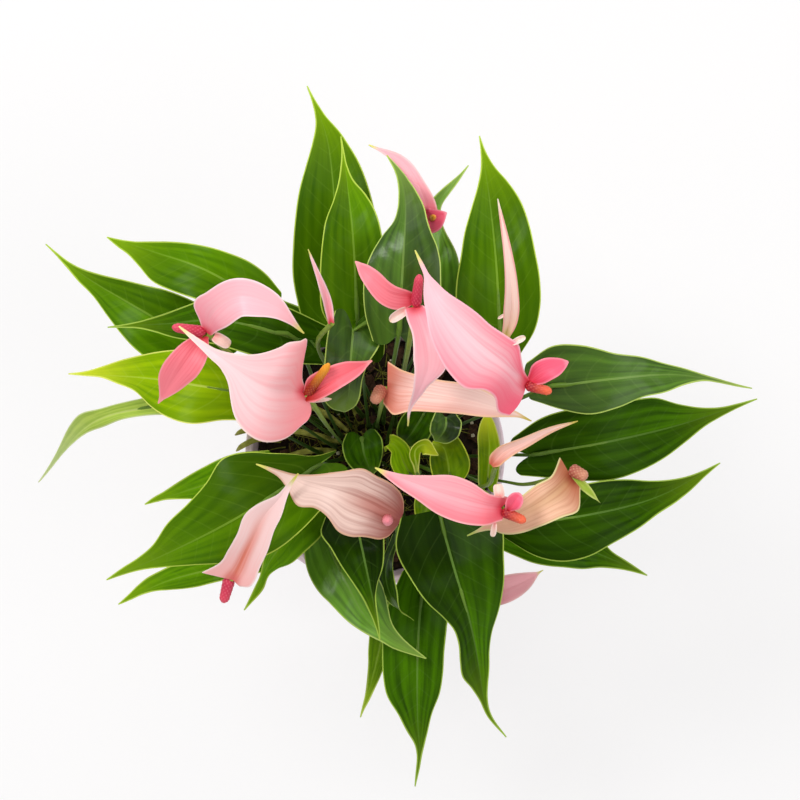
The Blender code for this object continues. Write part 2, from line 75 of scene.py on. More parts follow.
# ---------------------------------------------------------------------------------------------
# The plant, in millimetres and degrees. Roots are places on the soil, and midribs run from the
# base of a blade to its tip. Where something differs between a blade's halves, the left half's
# value comes first, as seen looking from base to tip.


@dataclass
class Leaf:
    """A leaf: where its stalk leaves the soil, its midrib, and how its two halves are bent.

    left and right are half widths at places along the midrib, and where they are empty half_width,
    widest and taper shape both halves. half_width also says how finely the blade is made and how
    thick its stalk is. shade deepens or lightens each half's green: partly the
    leaf's own tone, partly painted light and shade for how that half catches the light. outer does
    so again toward the tip, likewise partly painted light. via are points that the stalk passes on
    its way up.
    """

    root: tuple
    midrib: list
    half_width: float = 20.0
    widest: float = 0.27
    taper: float = 2.0
    roll: float = 0.0
    fold: tuple = (10.0, 10.0)
    cup: tuple = (0.0, 0.0)
    lobe: tuple = (0.07, 0.07)
    left: list = ()
    right: list = ()
    via: tuple = ()
    tone: str = "green"
    heading: tuple = (0.0, 0.0)
    shade: tuple = (1.0, 1.0)
    outer: tuple = (1.0, 1.0)
    wave: float = 1.2
    waves: float = 1.5


@dataclass
class Spathe:
    """A petal-like leaf of a flower: midrib, half widths at places along it, and its bend.

    Where right is left out, it is the same as left. heading turns the blade about the upright from
    its base to its tip.
    """

    midrib: list
    left: list
    right: list = ()
    roll: float = 0.0
    fold: tuple = (10.0, 10.0)
    cup: tuple = (0.0, 0.0)
    lobe: tuple = (0.07, 0.07)
    look: str = "pink"
    heading: tuple = (0.0, 0.0)
    wave: float = 0.6
    waves: float = 1.3

    def __post_init__(self):
        self.right = self.right or self.left


@dataclass
class Flower:
    """A flower: its stalk, spathe, spadix, small bract and the curled ears at the spathe's base.

    spadix is its foot and tip, and each ear is its start, its end and its girth. A bud has neither.
    """

    root: tuple
    top: tuple
    spathe: Spathe
    via: tuple = ()
    spadix: tuple = ()
    spadix_radius: float = 2.6
    spadix_look: str = "crimson"
    bract: Spathe = None
    ears: tuple = ()


def tenths(*half_widths):
    """Half widths at every tenth of the way from base to tip."""
    return [(place / 10, half_width) for place, half_width in enumerate(half_widths)]


def scaled(size, shares):
    """Sizes at places along a midrib or a stalk, as shares of one size."""
    return [(place, size * share) for place, share in shares]


# Shares of the greatest half width: a slim spathe, the small bract, and the ear at a spathe's base.
SLIM = [(0, 0.62), (0.15, 0.95), (0.35, 1), (0.55, 0.85), (0.72, 0.55), (0.85, 0.25), (0.93, 0.08),
        (1, 0.03)]
BRACT = [(0, 0.3), (0.15, 0.75), (0.35, 1), (0.55, 0.85), (0.72, 0.55), (0.85, 0.25), (0.93, 0.08),
         (1, 0.03)]
EAR = [(0, 0.75), (0.2, 1.05), (0.5, 1.15), (0.75, 0.95), (0.9, 0.6), (1, 0.15)]

# Clockwise from the north, then the small leaves at the middle.
# Each leaf's two brightness pairs, per half and toward the tip, are partly its own tone and partly painted
# light and shade: each half is lightened or darkened to how brightly it is lit.
LEAVES = {
    "leaf_north_tall": Leaf(
        (2, 20), [(-18, 65, 198), (-18, 114, 206), (-21, 146, 197), (-26, 163, 187), (-32, 178, 175)],
        left=tenths(14, 18, 20.6, 20.4, 19, 16.5, 12.3, 7.6, 3, 1.1, 0.3),
        right=tenths(14, 18.5, 20, 20, 19.2, 16.5, 12.8, 8, 3.6, 1.2, 0.3), roll=4, shade=(0.75, 0.82),
        outer=(1.05, 1.05)),
    "leaf_north_pale": Leaf(
        (-3, 14), [(-7, 65, 228), (-9, 103, 240), (-12, 129, 230), (-15, 150, 214)],
        left=tenths(12, 16.5, 16.7, 16, 14.5, 12.1, 7.6, 4.1, 2, 0.7, 0.3),
        right=tenths(12, 14, 14.6, 15, 14.2, 12.4, 8.2, 3.3, 1.1, 0.6, 0.3), roll=-4, fold=(14, 14),
        lobe=(0.07, 0.22), shade=(1.05, 0.42), outer=(0.7, 3)),
    "leaf_north_dark": Leaf(
        (4, 16), [(12, 58, 248), (14, 92, 257), (15, 114, 251), (13, 128, 241), (6.5, 140, 229)],
        left=[(0, 12), (0.1, 16), (0.2, 17.6), (0.3, 17.4), (0.38, 15.3), (0.45, 12.4), (0.5, 9.9),
              (0.56, 5.9), (0.62, 4), (0.7, 3), (0.8, 2), (0.9, 0.9), (1, 0.3)],
        right=[(0, 12), (0.1, 16.5), (0.2, 18), (0.3, 17.6), (0.38, 16.7), (0.45, 14.7), (0.5, 12.2),
               (0.56, 10), (0.62, 8.7), (0.7, 6), (0.8, 3.2), (0.9, 1.6), (1, 0.3)], fold=(-14, -4),
        tone="glossy", shade=(1.5, 0.9), outer=(1.1, 1.05)),
    "leaf_north_edge": Leaf(
        (10, 22), [(29, 64, 205), (31, 92, 212), (30, 118, 204), (45, 139, 186)],
        left=[(0, 12), (0.3, 12), (0.5, 8), (0.6, 6), (0.75, 2.5), (0.85, 1.2), (1, 0.3)],
        right=[(0, 12), (0.2, 12.5), (0.35, 9), (0.5, 4), (0.6, 2.5), (0.75, 3), (0.85, 2.2), (0.95, 0.8),
               (1, 0.3)], roll=-20, fold=(5, 5), tone="glossy", shade=(3.2, 4)),
    "leaf_northeast": Leaf(
        (18, 16), [(59, 53, 216), (57, 87, 228), (54, 120, 220), (50, 152, 196)],
        left=tenths(14, 18, 20.2, 19.4, 16.4, 13.5, 9.3, 5.1, 2.1, 0.8, 0.3),
        right=tenths(8.4, 16.3, 19.5, 19.8, 18.5, 17, 14.4, 9.9, 5, 1.9, 0.3), shade=(0.87, 0.85),
        outer=(1, 0.93)),
    "leaf_east_upper": Leaf(
        (24, 8), [(79, 33, 234), (108, 37, 244), (141, 39, 232), (178, 33, 200)],
        left=tenths(13, 18.8, 17.4, 12.1, 9.1, 5.3, 3.2, 1.7, 1, 0.6, 0.3),
        right=tenths(5, 11.2, 15, 13.5, 10, 8.2, 4.2, 1.4, 0.8, 0.7, 0.3), roll=6, fold=(8, 8),
        tone="glossy", shade=(1.5, 1.1), outer=(1.4, 1.75)),
    "leaf_east_middle": Leaf(
        (32, -2), [(74, 2, 212), (108, 8, 218), (144, 16, 202), (184, 28, 172)],
        left=tenths(10, 17, 19, 17.8, 17.3, 15.8, 10, 5.2, 2.2, 1, 0.3),
        right=tenths(9, 13, 16.5, 18.3, 17, 13.8, 9, 4.7, 2.6, 1.2, 0.3), roll=6, fold=(10, -4),
        via=((58, 1, 168),), tone="dark", shade=(1, 1.1), outer=(2.1, 1.1)),
    "leaf_east_lower": Leaf(
        (26, -6), [(66, -30, 208), (98, -26, 218), (132, -18, 208), (165, -2.5, 183)],
        left=tenths(10, 14, 16, 15.4, 14.9, 12.8, 9, 5.5, 2.7, 1, 0.3),
        right=tenths(6, 15.8, 20, 19.3, 15.2, 11.4, 7.4, 5.8, 4.3, 2.1, 0.3), roll=8, tone="dark",
        shade=(0.8, 0.85), outer=(1.3, 1.35)),
    "leaf_east_lowest": Leaf(
        (24, -12), [(64, -36, 174), (89, -40, 178), (113, -48.5, 170), (133, -58, 152)],
        left=[(0, 10), (0.2, 13), (0.4, 12), (0.55, 7), (0.65, 3.6), (0.75, 2.4), (0.85, 1.6), (0.95, 0.8),
              (1, 0.3)], right=tenths(8, 10.6, 12.8, 13, 11.6, 9.6, 6, 3.9, 2.4, 1.2, 0.3), roll=4,
        tone="dark", shade=(2.4, 2.6), outer=(0.7, 0.65)),
    "leaf_south_large": Leaf(
        (14, -14),
        [(30, -23.5, 216), (38, -52, 226), (43, -68, 218), (47, -84, 204), (50, -100, 190),
         (52.5, -115, 177), (56, -125, 168), (64, -136, 159)],
        left=[(0, 18), (0.1, 26.5), (0.22, 23.3), (0.35, 17.2), (0.42, 13.5), (0.5, 9.1), (0.57, 6.6),
              (0.65, 5), (0.72, 3.3), (0.79, 1.9), (0.89, 0.9), (1, 0.3)],
        right=[(0, 18), (0.1, 24), (0.22, 20.3), (0.28, 16.6), (0.35, 12.5), (0.42, 8.8), (0.5, 8),
               (0.57, 9), (0.65, 9), (0.72, 5.3), (0.79, 2.4), (0.89, 1.2), (1, 0.3)], roll=-4, lobe=(0, 0),
        tone="dark", shade=(0.75, 0.43), outer=(3.3, 2.6)),
    "leaf_south_low": Leaf(
        (12, -20), [(23, -62, 170), (21, -93, 172), (21, -125, 158), (22, -146, 142), (20, -164.5, 126)],
        left=[(0, 10), (0.1, 13.5), (0.2, 13.5), (0.27, 13), (0.37, 12.6), (0.46, 11.1), (0.56, 7.3),
              (0.65, 4.9), (0.72, 3), (0.79, 1.5), (0.9, 0.9), (1, 0.3)],
        right=[(0, 10), (0.1, 15), (0.2, 17.8), (0.27, 17.4), (0.37, 16.8), (0.46, 15), (0.56, 9.2),
               (0.65, 5.3), (0.72, 2.6), (0.79, 1.4), (0.9, 0.9), (1, 0.3)], tone="dark", shade=(2, 2.3),
        outer=(0.9, 0.75)),
    "leaf_south_behind": Leaf(
        (6, -24), [(7, -69, 160), (3, -91, 160), (-2, -112, 150), (-7, -129, 136)],
        left=[(0, 6), (0.2, 7), (0.4, 5.5), (0.5, 4.2), (0.6, 3.5), (0.7, 2.5), (0.8, 1.7), (0.9, 0.8),
              (1, 0.3)],
        right=[(0, 6), (0.2, 7), (0.3, 6.3), (0.4, 5.3), (0.5, 3.6), (0.6, 2.4), (0.7, 1.6), (0.8, 1.1),
               (0.9, 0.8), (1, 0.3)], roll=10, tone="light", shade=(0.85, 0.95)),
    "leaf_southwest_glossy": Leaf(
        (2, -22), [(-24, -34, 188), (-12, -60, 199), (0, -79, 193), (25, -96, 179)],
        left=[(0, 8), (0.1, 12), (0.3, 15), (0.5, 14), (0.6, 11), (0.7, 6.4), (0.8, 3.4), (0.9, 1.5),
              (1, 0.3)], right=tenths(8, 12.3, 14.6, 14.2, 11.4, 8.5, 5.7, 4, 3.8, 2.3, 0.3), roll=6,
        tone="glossy", shade=(2.2, 3.1), outer=(1.4, 1.2)),
    "leaf_south_dark": Leaf(
        (6, -16), [(-8, -28, 216), (-4, -46, 222), (0, -66, 212), (3, -85, 200)],
        left=tenths(12, 14, 11.6, 9.8, 7.5, 4.3, 2, 1.2, 1, 0.8, 0.3),
        right=tenths(14, 17.5, 14.5, 12, 9.3, 6.8, 4.7, 3.3, 2, 1, 0.3), tone="dark", shade=(0.16, 0.24),
        outer=(3.8, 5.5)),
    "leaf_south_narrow": Leaf(
        (10, -18), [(11, -38, 202), (6, -53, 206), (10, -68, 200), (19, -77, 190)], 8, widest=0.3,
        taper=1.6, roll=60, fold=(5, 5), tone="dark"),
    "leaf_west_large": Leaf(
        (-13, -7), [(-24, -2, 226), (-58, -24, 238), (-90, -41, 222), (-127, -58, 186)],
        left=tenths(12, 17, 20.5, 22, 20, 14.7, 9.7, 5.5, 2.5, 1.1, 0.3),
        right=[(0, 2), (0.05, 5), (0.1, 11.5), (0.15, 17), (0.2, 22.5), (0.3, 27), (0.4, 21), (0.5, 16.4),
               (0.6, 12.8), (0.7, 6.7), (0.8, 3.8), (0.9, 2.3), (1, 0.3)], fold=(-5, -8), shade=(0.95, 0.4),
        outer=(1.3, 2.5)),
    "leaf_west_behind": Leaf(
        (-16, -2), [(-52, -5, 184), (-71, -10, 188), (-90, -16, 178), (-111, -23, 162)],
        left=[(0, 8), (0.2, 10), (0.4, 8), (0.5, 6.2), (0.6, 4.3), (0.7, 2.5), (0.8, 1.1), (0.9, 0.7),
              (1, 0.3)],
        right=[(0, 8), (0.2, 10.5), (0.4, 8.5), (0.5, 7.2), (0.6, 5.7), (0.7, 4.3), (0.8, 3), (0.9, 2),
               (1, 0.3)], shade=(1.6, 1.7)),
    "leaf_west_under": Leaf(
        (-22, -14), [(-56, -50, 164), (-78, -54, 168), (-102, -61, 158), (-126, -73, 140)],
        left=[(0, 6), (0.2, 6.5), (0.3, 6.6), (0.4, 6.8), (0.5, 6), (0.6, 4.3), (0.7, 2.2), (0.8, 1.1),
              (0.9, 0.8), (1, 0.3)],
        right=[(0, 6), (0.2, 8), (0.4, 8), (0.5, 7), (0.6, 6), (0.7, 5.3), (0.8, 3.9), (0.9, 2), (1, 0.3)],
        shade=(1.35, 1.2), outer=(1, 1.3)),
    "leaf_southwest_folded": Leaf(
        (-4, -15),
        [(-27, -24, 206), (-38, -34, 208), (-48.5, -48, 199), (-54.5, -61, 188), (-62, -73, 178)],
        left=[(0, 9), (0.15, 11), (0.3, 10.5), (0.45, 9), (0.55, 5), (0.62, 2.8), (0.75, 2.4), (0.9, 1.2),
              (1, 0.3)],
        right=[(0, 7), (0.2, 9), (0.35, 8), (0.5, 4), (0.6, 2.4), (0.75, 2.2), (0.9, 1.1), (1, 0.3)],
        roll=-26, fold=(26, 18), shade=(1.5, 1.5), outer=(1.3, 1.3)),
    "leaf_west_lime": Leaf(
        (-20, 4), [(-52, 29, 206), (-80, 34, 216), (-109, 38, 204), (-146, 40, 178)],
        left=tenths(10, 12.6, 14.7, 18.5, 17.3, 13.3, 6.8, 3.8, 1.2, 0.7, 0.3),
        right=tenths(12, 16, 17.3, 17.3, 15.5, 12.9, 9.9, 7.2, 4.3, 1.7, 0.3), roll=4, tone="lime",
        shade=(0.96, 1), outer=(1.1, 1.2)),
    "leaf_far_west": Leaf(
        (-26, 0), [(-72, 27, 164), (-108, 24, 166), (-140, 15, 144), (-170, -14, 104)],
        left=[(0, 7), (0.2, 6), (0.3, 4), (0.4, 3.6), (0.5, 4.2), (0.6, 2.6), (0.7, 1.8), (0.85, 1),
              (1, 0.3)],
        right=[(0, 7), (0.2, 6.5), (0.3, 5.5), (0.4, 4.8), (0.5, 5), (0.6, 7.5), (0.68, 6.5), (0.78, 4),
               (0.9, 1.6), (1, 0.3)], roll=20, fold=(6, 6), tone="pallid", shade=(1.6, 1.4),
        outer=(0.7, 0.75)),
    "leaf_northwest_low": Leaf(
        (-25, 15), [(-77, 49, 168), (-107, 68, 178), (-133, 83, 168), (-148, 93, 156), (-161.5, 104, 142)],
        left=[(0, 13), (0.1, 17), (0.2, 18.3), (0.33, 17.3), (0.4, 14.9), (0.5, 10.6), (0.61, 5.8),
              (0.7, 3.9), (0.8, 1.9), (0.9, 0.8), (1, 0.3)],
        right=[(0, 13), (0.1, 17), (0.2, 17.5), (0.33, 14.8), (0.4, 12), (0.5, 8.7), (0.61, 5.3),
               (0.7, 2.9), (0.8, 1.3), (0.9, 0.7), (1, 0.3)], roll=-4, shade=(1.65, 0.95), outer=(0.7, 1)),
    "leaf_northwest_high": Leaf(
        (-17, 20), [(-52, 73, 204), (-78, 88, 212), (-103, 97, 202), (-127, 105, 184)],
        left=tenths(8, 11, 12.6, 14, 15, 15, 13.6, 9, 5.2, 3, 0.3),
        right=tenths(9, 12.6, 13.5, 12.1, 10.3, 8.4, 6.3, 4, 2, 0.9, 0.3), via=((-42, 43, 165),),
        shade=(0.95, 1.4), outer=(1.1, 0.95)),
    "leaf_west_upper": Leaf(
        (-17, 9), [(-36, 56, 216), (-68, 64, 226), (-97, 63, 212), (-126, 62, 190)],
        left=tenths(9, 12, 13.5, 13, 11.3, 9.4, 7, 3.8, 1.6, 0.8, 0.3),
        right=tenths(9, 12, 13.5, 13, 11.3, 8, 5.6, 3.5, 1.9, 0.9, 0.3), lobe=(0.18, 0.2), tone="dark",
        shade=(1.05, 1.15), outer=(1.4, 1.45)),
    "leaf_northwest_inner": Leaf(
        (-12, 14), [(-28, 53, 164), (-35, 62, 168), (-41, 70, 166), (-48, 79, 160)], 9, tone="dark",
        shade=(1.6, 1.6)),
    "leaf_inner_glossy": Leaf(
        (-4, 8), [(-9, 59, 240), (-10, 45, 244), (-11, 31, 234), (-13, 22, 224)],
        left=[(0, 11), (0.1, 13.5), (0.2, 12.5), (0.35, 8.5), (0.55, 6), (0.8, 5), (0.92, 3.5), (1, 0.3)],
        right=[(0, 10), (0.15, 12.5), (0.35, 13), (0.6, 13), (0.8, 10.5), (0.92, 6), (1, 0.3)], roll=-8,
        fold=(4, 20), lobe=(0.2, 0.2), via=((20, 50, 200), (23, 70, 238), (10, 69, 246)), tone="glossy",
        shade=(1.6, 1.15), outer=(0.5, 0.4)),
    "leaf_inner_heart": Leaf(
        (-6, 0), [(-6, 9, 160), (-5, 2, 162), (-3, -4, 158), (-1, -10, 150)], 10, widest=0.2, taper=1.2,
        fold=(6, 6), lobe=(0.15, 0.15), tone="dark", shade=(1.45, 1.35), outer=(1.45, 1.25)),
    "leaf_inner_small": Leaf(
        (10, 3), [(24, 21, 172), (21, 16, 172), (17, 10, 165), (12.5, 5, 155)], 8.5, widest=0.3, taper=1.2,
        lobe=(0.15, 0.15), tone="dark", shade=(2.1, 1.7), outer=(0.6, 0.6)),
    "leaf_inner_round": Leaf(
        (16, 5), [(34, 19, 199), (34, 15, 201), (32, 11, 198), (29, 8, 193)], 7.5, widest=0.3, taper=1.0,
        lobe=(0.15, 0.15), via=((30, 11, 165),), tone="glossy", shade=(0.33, 1.2), outer=(1.9, 0.9)),
    "leaf_young_curled": Leaf(
        (4, -4), [(18, -9.5, 157), (14.5, -3, 163), (11.5, 4, 165), (8, 6.5, 164), (5.5, 2.5, 160)], 7.5,
        left=[(0, 5.5), (0.2, 6.5), (0.45, 6), (0.6, 4), (0.8, 3.5), (1, 0.5)],
        right=[(0, 2), (0.2, 4), (0.4, 5.5), (0.6, 6), (0.8, 4), (1, 0.5)], fold=(12, 10), cup=(-20, 45),
        tone="young", wave=1.0, shade=(1.9, 1.45), outer=(0.8, 1)),
    "leaf_young_folded": Leaf(
        (18, -12), [(21, -8.5, 192), (20, -2, 201), (19.6, 4, 204), (24, 6.5, 203), (30.5, 1.5, 198)], 6.5,
        left=[(0, 1.2), (0.3, 1.6), (0.45, 3), (0.65, 3), (0.85, 2.4), (1, 0.4)],
        right=[(0, 1), (0.3, 1.2), (0.45, 2.5), (0.65, 5), (0.85, 3.8), (1, 0.4)], roll=10, fold=(20, -10),
        cup=(40, -30), via=((22, -7, 165),), tone="lime", wave=0.6, shade=(0.9, 0.9)),
    "leaf_young_broad": Leaf(
        (14, -2), [(36, -9, 184), (35, -1, 190), (33, 5, 190), (28, 7.5, 186)], 12,
        left=[(0, 7), (0.25, 10.5), (0.5, 10), (0.75, 6.5), (0.92, 2.5), (1, 0.4)],
        right=[(0, 7), (0.25, 10.5), (0.5, 11), (0.75, 8), (0.92, 3), (1, 0.4)], fold=(14, 18),
        cup=(30, 20), tone="young", wave=1.2, shade=(0.75, 1.15), outer=(0.6, 0.5)),
    "leaf_inner_lime": Leaf(
        (20, 2), [(54, -13, 182), (54.5, -4, 191), (54.5, 6, 201), (53.5, 15, 209), (53, 22, 214)], 6.5,
        left=[(0, 4), (0.15, 5.5), (0.35, 6), (0.6, 6.2), (0.8, 5.5), (0.93, 3), (1, 0.4)],
        right=[(0, 4), (0.15, 5.5), (0.35, 6), (0.6, 6), (0.8, 5), (0.93, 3), (1, 0.4)], fold=(16, 20),
        cup=(25, 25), tone="lime", shade=(1.2, 1.3), outer=(0.65, 1.1)),
    "leaf_young_under": Leaf(
        (8, -10), [(28, -14, 162), (26, -21, 166), (25, -27, 160), (22, -36, 148)], 6.5, widest=0.35,
        taper=1.8, tone="young", shade=(0.85, 0.85)),
}

